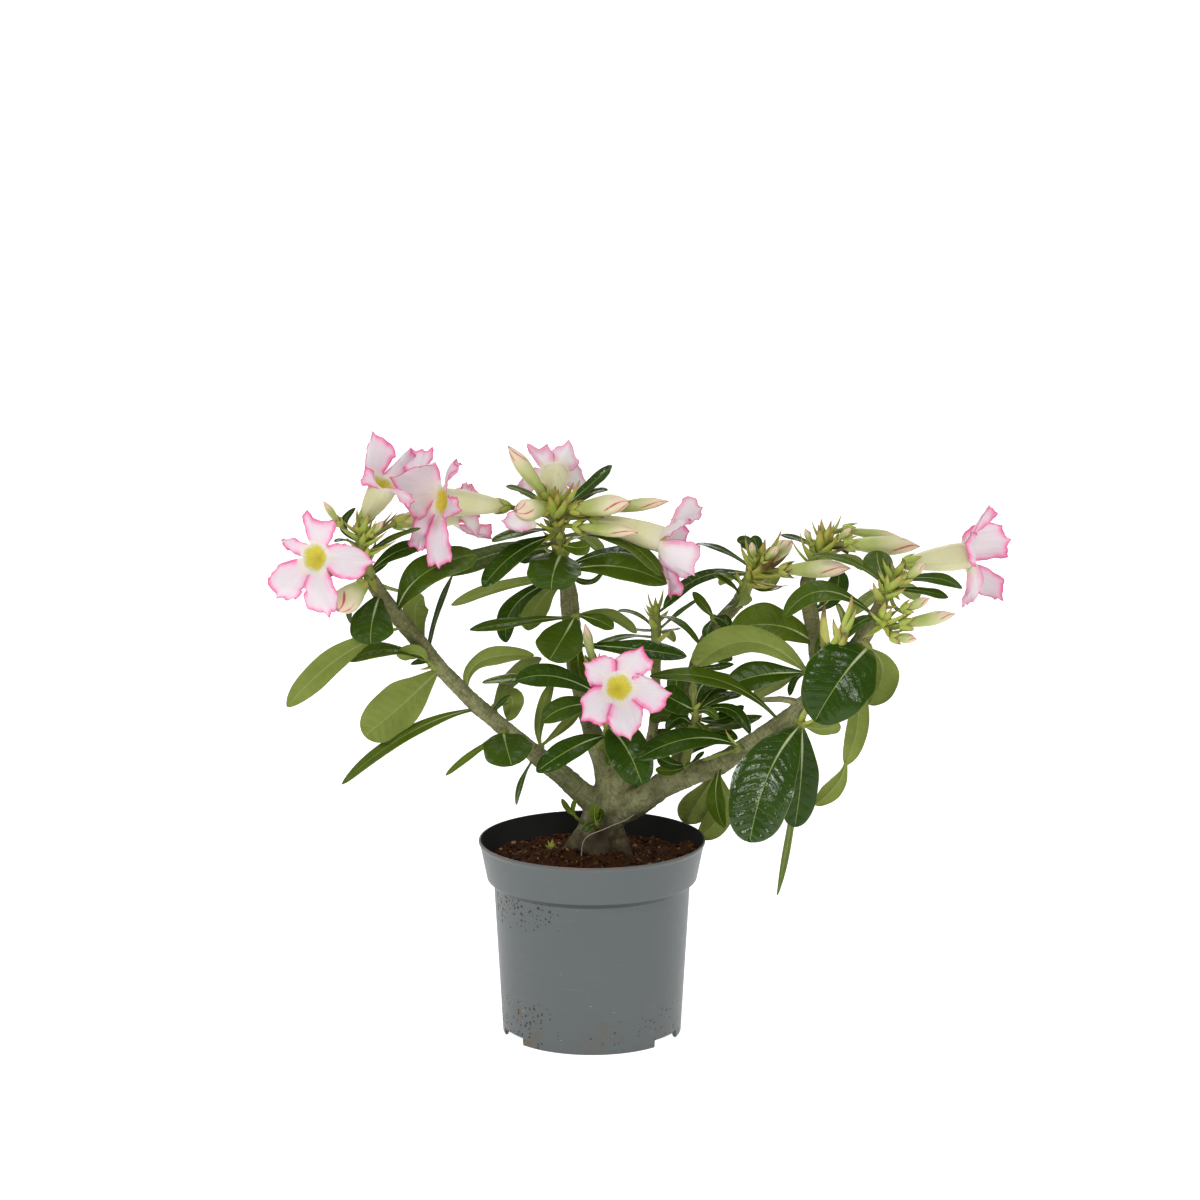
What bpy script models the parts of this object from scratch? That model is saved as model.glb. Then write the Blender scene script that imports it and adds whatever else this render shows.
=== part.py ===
"""A desert rose in a round nursery pot: pot, soil, woody trunk, leafy sprays, blooms and buds.

Places on the plant are in millimetres as the front view shows them: x to the right and z up on the
upright plane through the pot's axis, then y, the depth behind that plane. seen() carries such a place
back along its line of sight from the eye, so its depth never shifts what the front view shows.
"""
import math

import bmesh
import bpy
from mathutils import Vector, geometry, noise

MM = 0.001
GAP = 0.3

# The eye of the front view, and how far and where the plant leans back and forth
EYE = Vector((0.0, -2689.5, 848.5))
LEAN = 18.0
LEAN_FROM = 165.0
LEAN_OVER = 130.0
LEAN_MIDDLE = -15.0
LEAN_WIDTH = 180.0

# Merge distance and way to split faces, tried in turn on a fused body until it is sound
CLEAN_STEPS = ((2e-6, "BEAUTY"), (1e-5, "BEAUTY"), (2e-6, "EAR_CLIP"), (1e-5, "EAR_CLIP"),
               (3e-5, "BEAUTY"), (0, "BEAUTY"), (0, "EAR_CLIP"))

# Pot
POT_HEIGHT = 131.0
RIM_R = 75.0
BASE_R = 59.3
BAND_FOOT_R = 69.5
BAND_FOOT_Z = 105.0
WALL_TOP_R = 65.0
WALL_TOP_Z = 101.0
WALL = 1.5
PAD_R = 38.0
GUTTER_R = (44.0, 54.5)
GUTTER_Z = 5.5
POT_SIDES = 32
NOTCH_AZIMUTHS = (-63.0, 57.0, 177.0)
NOTCH_ANGLE = 26.0
NOTCH_HEIGHT = 5.1
NOTCH_STEPS = 4
DRAINS = 8
DRAIN_R = 4.0

# Sides of round pieces
TRUNK_SIDES = 12
LIMB_SIDES = 7
STEM_SIDES = 5
BUD_SIDES = 5

# Soil
SOIL_WALL_Z = 116.0
SOIL_MOUND = 6.0
SOIL_LUMP = 2.4
SOIL_LUMP_WIDE = 9.0
SOIL_RINGS = (52.0, 30.0)
SOIL_SIDES = 16

# Leaves: thickness, where they are widest, depth of the fold along the middle
LEAF_THICK = 0.75
LEAF_PEAK = 0.66
LEAF_FOLD = 0.22
WIDE_LEAF = 17.5
NARROW_LEAF = 9.0
PETIOLE_R = 1.1

# Flowers: trumpet, petals, and the green cup that holds them
PETAL_THICK = 0.7
PETALS = 5
TUBE_FOOT_R = 2.7
TUBE_MIDDLE_R = 5.4
THROAT_R = 8.2
FLARE = 0.62
PETAL_SHAPE = ((0.3, 0.6), (0.64, 1.0), (0.89, 0.72))
PETAL_TWIST = 1.2
CUP_R = 3.7
CUP_LONG = 2.8
LOBE_LONG = 7.5
LOBE_LEAN = 4.5

# Which way a blade's upper face looks
FRONT = (0.0, -0.85, 0.5)
TILTED = (0.0, -0.5, 0.85)
LEVEL = (0.0, -0.2, 1.0)

# Woody branches: x, z, y and radius at each point
BRANCHES = {
    "trunk": [(3, 72, 12, 8), (3, 92, 12, 19), (3, 112, 12, 19), (3, 124, 12, 16.5),
              (6, 140, 12, 15), (9, 156, 12, 12.5), (10, 164, 12, 9)],
    "left_root": [(0, 140, 11, 8), (-8, 130, 8, 6.5), (-16, 121, 5, 5), (-22, 110, 3, 3)],
    "right_root": [(10, 142, 11, 9), (17, 130, 8, 7), (22, 119, 5, 5.5), (27, 108, 3, 3)],
    "front_root": [(5, 136, 6, 8), (6, 124, -1, 7), (6, 113, -7, 5), (6, 104, -10, 3)],
    "left_limb": [(8, 148, 12, 9), (-4, 160, 11, 8), (-18, 173, 8, 7.2), (-38, 189, 5, 6.3),
                  (-58, 206, 2, 5.7), (-75, 221, 0, 5.5), (-94.5, 241, -3, 5.2),
                  (-111, 261, -5, 5.2), (-127, 281, -6, 5.3), (-139, 297, -7, 5.0),
                  (-145, 307, -7, 4.6)],
    "middle_limb": [(9, 152, 12, 10), (10, 166, 13, 8.4), (8, 180, 14, 7.2), (4, 192, 15, 6.7),
                    (0, 205, 16, 6.3), (-5, 222, 17, 6.0), (-9, 240, 18, 6.0),
                    (-12, 260, 19, 6.2), (-14, 280, 20, 6.3), (-15, 295, 20, 6.2),
                    (-17, 305, 20, 5.6)],
    "right_limb": [(10, 148, 12, 11), (26, 154, 11, 9.8), (45, 166, 9, 8.5), (60, 173, 7, 7.9),
                   (80, 180, 4, 7.4), (92, 187, 2, 6.8), (105, 196, 0, 6.3), (118, 205, -3, 6.0),
                   (135, 217, -6, 6.2), (150, 233, -9, 5.6), (165, 252, -11, 5.3),
                   (178, 268, -13, 5.3), (186, 282, -14, 5.0), (190, 291, -15, 4.6)],
    "upper_limb": [(146, 228, -8, 5), (148, 242, 0, 4.8), (147, 258, 8, 5), (145, 274, 15, 5.2),
                   (142, 290, 21, 5.4), (141, 303, 25, 5.2), (143, 311, 27, 4.6)],
    "back_limb": [(54, 170, 9, 5), (57, 190, 16, 4.2), (60, 216, 23, 4.0), (66, 244, 29, 4.0),
                  (74, 264, 33, 4.3), (86, 280, 36, 4.6), (96, 291, 38, 4.8)],
    "thin_limb": [(30, 160, 12, 4.5), (36, 184, 22, 3.8), (41, 212, 28, 3.4), (42, 238, 32, 3.4)],
    "dry_twig": [(140, 222, -7, 2.4), (126, 225.5, -6, 2.2), (110, 225, -4, 1.7)],
}

# Leafy sprays: stems like the branches, leaves as foot, middle, tip, width and facing,
# spikes (bracts and tiny buds) as foot, tip and radius. A blade under "ends" carries on
# from a leaf's tip.
SPRAYS = {
    "left_shoot": {
        "stems": [[(-143, 303, -7, 3.4), (-146, 310, -7, 4.2), (-149, 320, -7, 4.2),
                   (-151, 331, -6, 3.6), (-151.5, 339, -5, 2.4)]],
        "leaves": [
            ((-152, 331, -4), (-162, 341, 0), (-154, 353.5, 4), 6, (-0.5, -0.7, 0.5)),
            ((-151, 326, -8), (-160, 332, -12), (-168, 331, -18), 5, LEVEL),
            ((-149, 322, -6), (-131, 333, -9), (-112, 340, -10), 9, LEVEL),
            ((-146, 310, -6), (-128, 324, -3), (-107, 329, 0), 13, (0.2, -0.5, 0.85)),
            ((-149, 316, -6), (-161, 321, 14), (-170, 308, 32), 15, LEVEL),
            ((-146, 309, -4), (-137, 301, 18), (-121, 297, 38), 15, LEVEL),
        ],
        "spikes": [
            ((-151, 334, -6), (-173.5, 357, -10), 2.2),
            ((-151, 336, -5), (-153, 353, -4), 2.2), ((-151, 333, -6), (-130, 351, -12), 1.8),
            ((-150, 330, -6), (-141, 345, -14), 1.8),
            ((-150, 313, -7), (-158, 300, -8), 2.4), ((-146, 309, -9), (-141, 297, -21), 2.4),
        ],
    },
    "middle_shoot": {
        "stems": [[(-16, 300, 20, 4.4), (-17.5, 309, 20, 5.4), (-20, 320, 19, 5.0),
                   (-22, 333, 18, 5.2), (-24, 346, 17, 4.4), (-25, 356, 17, 2.6)]],
        "leaves": [
            ((-30, 337, 14), (-46, 337.5, 2), (-65, 331, -6), 13, LEVEL),
            ((-29, 333, 14), (-49, 324, -2), (-71, 301, -14), 18, (-0.3, -0.75, 0.6)),
            ((-29, 329, 20), (-63, 323, 10), (-97, 308, 0), 19, (-0.1, -0.6, 0.8)),
            ((-26, 325, 24), (-37, 322, 28), (-48, 318, 30), 11, TILTED),
            ((-20, 320, 14), (-24, 311.5, -8), (-28, 299.5, -18), 35, (0, -0.8, 0.6)),
            ((-16, 334, 16), (16, 333.5, 2), (46, 308, -14), 17, (0.3, -0.45, 0.85)),
            ((-15, 311, 16), (17, 314.5, 8), (49, 303, -2), 20, (0.2, -0.8, 0.6)),
            ((-15, 315, 22), (8, 323, 24), (28, 322, 26), 12, TILTED),
            ((-18, 329, 12), (-10, 327, 2), (-2, 329, -4), 12, FRONT),
            ((-20, 350, 20), (-4, 366, 30), (13, 381.5, 34), 9.5, (-0.5, -0.7, 0.5)),
            ((-19, 346, 22), (-5, 361, 30), (10, 365, 30), 10, LEVEL),
            ((-27, 350, 20), (-42, 363, 30), (-56, 367.5, 34), 8, LEVEL),
            ((-22, 325, 24), (-31, 330, 44), (-40, 319, 60), 16, (0, 0.2, 1)),
            ((-19, 330, 24), (-6, 334, 44), (6, 323, 60), 16, (0, 0.2, 1)),
            ((-18, 318, 24), (-18, 317, 46), (-22, 303, 62), 15, (0, 0.3, 1)),
            ((-17, 307, 24), (-34, 292, 33), (-42, 272, 36), 19, (-0.2, 0.9, 0.2)),
            ((-18, 308, 22), (-49, 290, 20), (-56, 264, 16), 17, (-0.5, -0.6, 0.4)),
            ((-18, 307, 20), (-56, 302, 4), (-92, 289, -10), 13, TILTED),
            ((-17, 311, 18), (-3, 304, 12), (8, 312, 10), 7, (-0.5, -0.2, 0.8)),
        ],
        "spikes": [
            ((-24, 352, 15), (-12, 370.5, 8), 3.0), ((-25, 352, 15), (-24, 367, 10), 2.2),
            ((-25, 345, 14), (-27.5, 359, 4), 2.4), ((-23, 345, 14), (-18, 359, 4), 2.4),
            ((-25, 338, 14), (-39, 345.5, 2), 2.4), ((-24, 340, 14), (-18, 348, -2), 2.2),
            ((-23, 350, 15), (-10, 359, 6), 2.2), ((-24, 338, 14), (-33, 330, 2), 2.2),
        ],
    },
    "right_shoot": {
        "stems": [[(188, 286, -15, 3.6), (191, 294, -15, 4.2), (195, 302, -15, 4.0),
                   (200, 311, -13, 2.6)]],
        "leaves": [
            ((191, 302, -11), (170, 317, -8), (144, 322, -4), 10, LEVEL),
            ((193, 301, -12), (188, 313, -2), (186, 325, 10), 19, (0, -0.75, 0.5)),
            ((200, 301, -15), (222, 307, -18), (242, 300, -20), 10, (0, -0.6, 0.8)),
            ((195, 299, -16), (217, 298, -20), (233, 294, -22), 8, TILTED),
            ((195, 301, -14), (202, 302, 10), (212, 292, 32), 16, (0, 0.2, 1)),
            ((194, 299, -14), (184, 296, 12), (172, 282, 30), 16, (0, 0.2, 1)),
        ],
        "spikes": [
            ((195, 301, -16), (187, 312, -22), 1.8), ((193, 297, -17), (181, 300, -25), 2.0),
            ((196, 300, -17), (202, 292, -26), 2.6),
            ((197, 305, -15), (190, 320, -16), 1.8), ((196, 303, -12), (206, 312, 0), 2.2),
        ],
    },
    "right_low_tuft": {
        "stems": [[(184, 278, -14, 3.2), (190, 277, -19, 3.2), (196, 274, -23, 2.4)]],
        "leaves": [],
        "spikes": [
            ((192, 277, -20), (177, 267, -28), 2.4), ((192, 277, -20), (196, 287, -30), 2.6),
            ((191, 277, -20), (182, 285, -27), 2.0),
        ],
    },
    "upper_shoot": {
        "stems": [[(142, 306, 26, 3.4), (144, 313, 27, 4.0), (148, 321, 28, 3.8),
                   (151, 329, 28, 3.0), (153, 335, 28, 2.0)]],
        "leaves": [
            ((148, 325, 30), (137, 332, 36), (123, 335.5, 40), 7, LEVEL),
            ((150, 323, 28), (160, 328, 24), (167, 323, 20), 7, (0.2, -0.6, 0.8)),
            ((146, 316, 30), (150, 322, 48), (146, 308, 66), 15, (0, 0.2, 1)),
            ((148, 318, 30), (164, 322, 42), (176, 312, 52), 14, (0, 0.2, 1)),
        ],
        "spikes": [
            ((150, 330, 27), (143.5, 345, 24), 1.8), ((151, 331, 27), (149.5, 346.5, 22), 2.6),
            ((152, 330, 27), (162.5, 349, 22), 2.0),
            ((152, 331, 28), (167.5, 338.5, 20), 2.4),
            ((145, 317, 26), (142.5, 338, 22), 2.2), ((144, 316, 26), (136, 337, 24), 1.8),
            ((144, 315, 26), (130, 333, 24), 2.0), ((152, 332, 30), (158, 343, 40), 2.0),
        ],
    },
    "back_shoot": {
        "stems": [[(93, 288, 38, 3.6), (98, 295, 38, 4.6), (102, 304, 38, 4.6),
                   (107, 312, 38, 4.0), (111, 318, 38, 2.6)]],
        "leaves": [
            ((98, 314, 38), (72, 307.5, 30), (47, 287, 20), 11, (-0.3, -0.6, 0.7)),
            ((102, 316, 40), (84, 326, 44), (68, 329.5, 46), 8, LEVEL),
            ((99, 300, 36), (91, 308, 32), (80, 310.5, 28), 8, LEVEL),
            ((96, 293, 36), (92, 302, 30), (79, 309, 24), 5, TILTED),
            ((94, 289, 36), (95, 288, 28), (97, 294, 14), 21, (0, -0.75, 0.6)),
            ((104, 300, 34), (114, 299, 26), (124, 301, 20), 9, LEVEL),
            ((106, 318, 42), (102, 329, 46), (95, 331, 46), 9, (-0.3, -0.7, 0.6)),
            ((107, 316, 42), (108, 327, 48), (104, 334, 52), 9, FRONT),
            ((104, 306, 42), (96, 310, 58), (84, 302, 72), 15, (0, 0.2, 1)),
            ((106, 308, 42), (114, 312, 60), (116, 300, 78), 15, (0, 0.2, 1)),
        ],
        "spikes": [
            ((106, 313, 36), (100, 336.5, 34), 2.4), ((110, 316, 36), (123.5, 339, 30), 2.8),
            ((108, 312, 36), (122.5, 323.5, 20), 2.8),
            ((107, 310, 36), (121, 309, 20), 3.2), ((105, 306, 36), (113, 318, 22), 3.0),
            ((106, 304, 36), (128, 302, 24), 2.2), ((110, 313, 37), (135, 307, 28), 1.8),
        ],
    },
    "thin_shoot": {
        "stems": [[(42, 234, 31, 2.6), (42, 244, 32, 3.4), (42, 262, 34, 3.4),
                   (42, 278, 34, 3.4), (42, 287, 34, 2.0)]],
        "leaves": [
            ((40, 272, 34), (30, 282.5, 32), (17, 285, 30), 6, LEVEL),
            ((44, 281, 34), (57, 277.5, 28), (70, 263, 22), 7, LEVEL),
            ((44, 271, 35), (56, 283, 38), (69, 292.5, 42), 6, LEVEL),
            ((44, 270, 34), (51, 272, 30), (58, 273, 28), 5, LEVEL),
            ((40, 272, 33), (33, 272, 30), (25, 273, 28), 5, LEVEL),
            ((41, 267, 34), (20, 267.5, 30), (1, 260, 26), 8, LEVEL),
            ((44, 283, 34), (49, 288, 30), (54, 291, 26), 5, TILTED),
            ((42, 268, 36), (47, 272, 50), (54, 264, 64), 9, (0, 0.2, 1)),
        ],
        "spikes": [
            ((41, 283, 34), (36.5, 297.5, 32), 1.9), ((42, 284, 34), (41.5, 294, 28), 1.7),
            ((43, 283, 34), (46.5, 300, 32), 1.9), ((41, 278, 34), (34, 287.5, 30), 1.7),
            ((42, 280, 34), (44, 291, 42), 1.7),
        ],
    },
    "front_shoot": {
        "stems": [[(4, 192, 12, 3.0), (9, 200, 0, 3.0), (12, 212, -3, 2.8), (14, 222, -3, 2.4)]],
        "leaves": [
            ((10, 224, -3), (-20, 240, -17), (-50, 238, -24), 16, FRONT),
            ((10, 222, -4), (-14, 221, -14), (-33, 210, -20), 15, FRONT),
            ((12, 206, -4), (26, 192, -20), (36, 169, -26), 24, (-0.1, -0.9, 0.4)),
            ((9, 200, -2), (-11, 193.5, -16), (-36.5, 176.5, -22), 17, (0, -0.8, 0.6)),
            ((9, 199, 0), (12, 190, -5), (10, 181, -7), 7, FRONT),
        ],
        "spikes": [((12, 214, -3), (8, 206, -10), 1.8)],
    },
    "inner_shoot": {
        "stems": [[(60, 174, 5, 3.0), (64, 195, 0, 3.0), (68, 214, -2, 2.6),
                   (67, 223, -4, 2.2), (65.5, 236.5, -7, 0.7)]],
        "leaves": [
            ((67, 218, -3), (58, 223, -12), (45, 230, -20), 19, FRONT),
            ((68, 217, -2), (76, 218, -4), (83, 212, -6), 6, FRONT),
            ((68, 217, 0), (83, 226, 3), (98, 228, 4), 9, TILTED),
            ((67, 212, -2), (73, 206, -6), (80, 198, -8), 6, FRONT),
            ((68, 216, 0), (90, 219, 4), (104, 202, 2), 9, (0.2, -0.7, 0.6)),
            ((66, 207, -1), (58, 213, -7), (49, 205, -12), 9, FRONT),
            ((61, 181, 3), (52, 182, -8), (43, 187, -14), 9, FRONT),
            ((61, 179, 3), (52, 177, -10), (42, 178, -15), 7, FRONT),
            ((61, 179, 2), (67, 184, -7), (74, 190, -10), 5, TILTED),
        ],
        "spikes": [((66, 210, -3), (61, 203, -9), 1.6)],
    },
    "left_tuft": {
        "stems": [[(-99, 246, -4, 3.0), (-104, 248, -7, 3.0), (-108, 251, -9, 1.4)]],
        "leaves": [
            ((-107, 251, -9), (-134, 259, -14), (-159, 251, -20), 13, (0, -0.35, 0.93)),
            ((-108, 251, -9), (-115, 258, -8), (-127, 254, -5), 12, (0.1, 0.5, 0.85)),
            ((-100, 246, -5), (-124, 223, -14), (-150, 201, -20), 33, (0.2, 0.85, 0.45)),
        ],
        "spikes": [((-104, 247, -8), (-113, 246, -14), 1.6)],
    },
    "middle_tuft": {
        "stems": [[(-13, 279, 17, 3.0), (-11, 281, 11, 3.0), (-9, 282, 8, 2.0)]],
        "leaves": [
            ((-13, 280, 10), (-19, 267, -8), (-28, 252, -20), 30, (-0.1, -0.85, 0.5)),
            ((-14, 281, 12), (-45, 278, 4), (-80, 272, -6), 11, (0, -0.4, 0.9)),
            ((-9, 282, 9), (3, 279, 4), (14, 273, 0), 11, (0, -0.7, 0.7)),
            ((-9, 285, 12), (10, 283, 16), (29, 270, 20), 14, (0.2, 0.6, 0.7)),
        ],
        "spikes": [],
    },
    "right_tuft": {
        "stems": [[(134, 213, -8, 3.4), (138, 209, -14, 3.4), (140, 208, -17, 2.2)]],
        "leaves": [
            ((136, 207, -16), (117, 176, -40), (105, 129, -46), 42, (-0.1, -0.9, 0.25)),
            ((139, 205, -13), (138, 174, -20), (134, 139, -22), 26, (0.3, -0.9, 0.2)),
            ((140, 208, -14), (150, 205, -20), (164, 208, -25), 14, (0, 0.5, 0.9)),
            ((137, 205, -12), (133, 152, -14), (123, 92, -14), 5, (1, -0.5, 0)),
        ],
        "spikes": [((138, 212, -14), (141, 222, -19), 2.4), ((138, 211, -15), (148, 214, -24), 2.2)],
    },
    "tip_tuft": {
        "stems": [[(177, 266, -15, 2.6), (181, 261, -18, 2.8), (183, 259, -19, 1.8)]],
        "leaves": [
            ((182, 260, -20), (166, 238, -34), (151, 209, -38), 36, (-0.1, -0.9, 0.4)),
            ((183, 260, -16), (191, 244, -14), (182, 222, -14), 22, (0.2, 0.9, 0.2)),
        ],
        "spikes": [],
    },
    "pod_tuft": {
        "stems": [[(157, 246, -11, 3.0), (154, 256, -16, 3.0), (152, 270, -18, 2.6),
                   (152, 286, -18, 1.2)],
                  [(158, 248, -12, 3.2), (163, 262, -18, 3.6), (166, 276, -19, 3.0),
                   (161, 289, -18, 1.6)]],
        "leaves": [
            ((162, 260, -17), (170, 273, -20), (184, 281, -21), 8, FRONT),
            ((163, 261, -18), (177, 221, -25), (167, 181, -22), 15, (-0.3, -0.9, 0.1)),
        ],
        "ends": [((167.5, 184, -22), (162, 168, -20), (147, 154, -17), 12, (0.5, 0.8, 0.3))],
        "spikes": [((163, 262, -18), (158, 280, -24), 2.0), ((164, 268, -18), (173, 287, -26), 1.8)],
    },
    "long_tuft": {
        "stems": [[(94, 190, 0, 3.0), (96, 193, -7, 2.8), (96, 194, -9, 2.0)]],
        "leaves": [
            ((95, 194, -9), (65, 199, -22), (30, 185, -28), 18, (0, -0.75, 0.65)),
            ((94, 191, -7), (85, 188, -12), (73, 184, -14), 9, (0, 0.5, 0.85)),
        ],
        "spikes": [((96, 194, -8), (88, 205, -12), 2.0)],
    },
    "back_tuft": {
        "stems": [[(65, 243, 28, 3.0), (67, 246, 22, 2.8), (68, 246, 20, 1.8)]],
        "leaves": [
            ((67, 246, 22), (80, 247, 17), (93, 249, 13), 7, TILTED),
            ((67, 244, 22), (80, 241, 16), (93, 238, 10), 11, TILTED),
            ((68, 247, 23), (80, 254, 20), (92, 252, 18), 9, FRONT),
        ],
        "spikes": [],
    },
    "bend_tuft": {
        "stems": [[(83, 277, 35, 3.0), (80, 280, 31, 2.8), (78, 281, 29, 1.6)]],
        "leaves": [
            ((79, 280, 31), (74, 288, 34), (66, 297.5, 38), 7, (-0.6, -0.5, 0.5)),
            ((80, 279, 30), (85, 279, 25), (91, 273, 23), 9, FRONT),
            ((79, 279, 31), (76, 273, 28), (76, 266, 26), 7, FRONT),
        ],
        "spikes": [],
    },
    "grey_tuft": {
        "stems": [[(-66, 214, 2, 3.0), (-65, 218, 8, 2.9), (-64, 221, 11, 2.2)]],
        "leaves": [
            ((-64, 218, 8), (-56, 219, 5), (-53, 225.5, -6), 15, (0.3, 0.5, 0.8)),
            ((-64, 220, 9), (-54, 238, 20), (-33, 253, 28), 15, (-0.3, 0.8, 0.3)),
        ],
        "spikes": [],
    },
    "upright_tuft": {
        "stems": [[(-37, 189, 6, 3.0), (-34, 193, 11, 2.8), (-33, 195, 12, 1.8)]],
        "leaves": [
            ((-34, 194, 11), (-34, 213, 12), (-25, 238, 13), 11, (-0.6, 0.7, 0.2)),
            ((-33, 194, 11), (-22, 204, 13), (-8, 217, 9), 9, (-0.5, 0.7, 0.4)),
        ],
        "spikes": [],
    },
    "dry_tuft": {
        "stems": [[(-57, 204, 0, 3.0), (-58, 202, -5, 2.8), (-58, 202, -7, 1.8)]],
        "leaves": [
            ((-58, 202, -6), (-57, 196, -24), (-53, 180.5, -34), 33, (0, -0.75, 0.66)),
            ((-59, 202, -5), (-77, 190, -7), (-96.5, 174, -8), 4, TILTED),
        ],
        "spikes": [],
    },
    "limb_tuft": {
        "stems": [[(-10, 259, 17, 3.0), (-9, 261, 11, 2.8), (-8, 262, 9, 1.8)]],
        "leaves": [
            ((-10, 262, 10), (-9, 250, 3), (-6, 235, 2), 12, FRONT),
            ((-7, 262, 10), (28, 259.5, 7), (62, 254, 0), 15, (0, -0.7, 0.7)),
        ],
        "spikes": [],
    },
    "bright_tuft": {
        "stems": [[(147, 243, -1, 3.0), (143, 243, -3, 2.8), (140, 243, -4, 1.8)]],
        "leaves": [
            ((142, 244, -3), (104, 264, -12), (69, 248, -10), 26, (0, 0.7, 0.7)),
            ((142, 243, -3), (112, 242, 0), (90, 239, -2), 18, (0, -0.65, 0.75)),
        ],
        "spikes": [],
    },
    "rim_tuft": {
        "stems": [[(84, 180, 6, 3.0), (83, 177, 11, 2.8), (82, 175, 13, 1.8)]],
        "leaves": [
            ((82, 176, 12), (70, 156, 26), (62, 141, 36), 20, (0, 0.9, 0.2)),
            ((84, 176, 12), (86, 150, 18), (70, 132, 26), 16, (0.1, 0.9, 0.2)),
        ],
        "spikes": [],
    },
    "left_sprout": {
        "stems": [[(-4, 141, 6, 2.0), (-9, 144, 0, 1.6), (-12, 147.5, -2, 1.4)]],
        "leaves": [
            ((-12, 147, -2), (-16, 151, -4), (-19.5, 157, -5), 5, (0.5, -0.8, 0.4)),
            ((-12, 147, -1), (-12.5, 152, 1), (-11, 157.5, 2), 4, (-0.3, -0.8, 0.3)),
        ],
        "spikes": [],
    },
    "front_sprout": {
        "stems": [[(4, 138, 1, 2.2), (3, 140, -8, 2.0), (3, 143, -10, 1.4)]],
        "leaves": [
            ((3, 141, -9), (1.5, 147, -13), (3, 154, -12), 4.5, FRONT),
            ((3.5, 141, -9), (6, 146, -12), (5, 151, -15), 4, FRONT),
        ],
        "spikes": [((3, 141, -9), (-5, 141.5, -14), 1.6), ((4, 139, -8), (7, 133, -13), 1.4)],
    },
}

# Leaves that grow singly from the bark
LONE_LEAVES = {
    "leaf_under_flower": ((-141, 292, -12), (-144, 278, -27), (-145, 263, -34), 28, (0.05, -0.9, 0.35)),
    "leaf_long_pale": ((-127, 268.5, -9), (-163, 256, -28), (-200.5, 220.5, -34), 18, (0.3, 0.8, 0.5)),
    "leaf_olive": ((-124, 283, -11), (-113, 306, -15), (-85, 322, -10), 23, (0.5, 0.2, 0.8)),
    "leaf_long_narrow": ((-77, 213, -4), (-118, 204, -12), (-165, 168, -20), 12, LEVEL),
    "leaf_hanging": ((-41, 182, 2), (-46, 171, -1), (-50, 154, -2), 7, (-0.9, -0.4, 0.2)),
    "leaf_arched": ((-79, 231, -2), (-74, 251, -3), (-38, 255, -6), 14, (-0.4, 0.8, 0.3)),
    "leaf_strip": ((-13, 237, 14), (-42, 240, 5), (-72, 236.5, -2), 11, LEVEL),
    "leaf_grey_arch": ((184, 281, -16), (152, 298, -18), (126, 281, -22), 19, TILTED),
    "leaf_olive_back": ((148, 266, 10), (124, 273, 6), (97, 277, 4), 24, TILTED),
    "leaf_long_arch": ((121, 211, -8), (87, 237, -18), (38, 241, -21), 12, LEVEL),
    "leaf_shadow_side": ((88, 177, -4), (82, 160, -12), (88, 138, -14), 17, (-0.6, -0.5, 0.2)),
    "leaf_round_back": ((145, 284, 17), (158, 296, 18), (161, 312, 17), 15, (0.2, -0.85, 0.3)),
}

# Blooms: spray, where the stalk leaves it, foot of the tube, throat, and each petal's tip and width
BLOOMS = {
    "front_left": ("left_shoot", (-149.5, 322, -8), (-160, 321.5, -18), (-181, 320, -50), [
        (-141, 317, -68, 24), (-182, 350, -53, 21), (-205, 333, -38, 8),
        (-211, 296, -38, 22), (-173, 279, -54, 21)]),
    "upper_left": ("left_shoot", (-151, 334, -6), (-148.5, 346, 10), (-137, 371, 5), [
        (-103, 390, 22, 19), (-142, 403, 20, 22), (-152, 373, -2, 14),
        (-128, 351, -2, 10), (-110, 362, 30, 13)]),
    "left_hidden": ("left_shoot", (-150, 329, -5), (-127, 343.5, 2), (-93, 350, 24), [
        (-74, 333, 16, 13), (-66, 334, 32, 14), (-78, 352, 50, 14),
        (-78, 368, 38, 12), (-82, 369, 22, 9)]),
    "left_middle": ("middle_shoot", (-27, 347, 18), (-57, 354.5, 6), (-100, 358, -20), [
        (-85, 352, -58, 17), (-86, 384, -34, 11), (-133, 374, -18, 29),
        (-116, 326, -26, 13), (-97, 313, -42, 20)]),
    "top_back": ("middle_shoot", (-25, 351, 19), (-25, 358, 25), (-25.5, 380, 56), [
        (-2, 369, 60, 19), (-15.5, 398, 50, 21), (-41, 396, 50, 20),
        (-48, 367, 62, 17), (-25, 352, 72, 17)]),
    "centre_right": ("middle_shoot", (-20, 346, 15), (2, 346, 8), (47, 333.5, -6), [
        (66, 309, -18, 21), (67, 342, -34, 17), (72, 355, -6, 16),
        (62, 340, 26, 20), (54, 291, 4, 12)]),
    "far_right": ("right_shoot", (198, 306, -14), (206, 317, -11), (246, 322, 4), [
        (269, 293, 16, 18), (246, 288, -6, 14), (244, 327, -30, 18),
        (260, 355, 4, 15), (271, 330, 30, 25)]),
    "front_centre": ("front_shoot", (14, 220, -3), (17.7, 232, -6), (17.7, 233.5, -42), [
        (52.5, 229.5, -46, 24), (33.5, 261, -46, 22), (-5, 250, -44, 22),
        (-7.5, 211.5, -44, 22), (25.6, 197.5, -46, 24)]),
}

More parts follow.
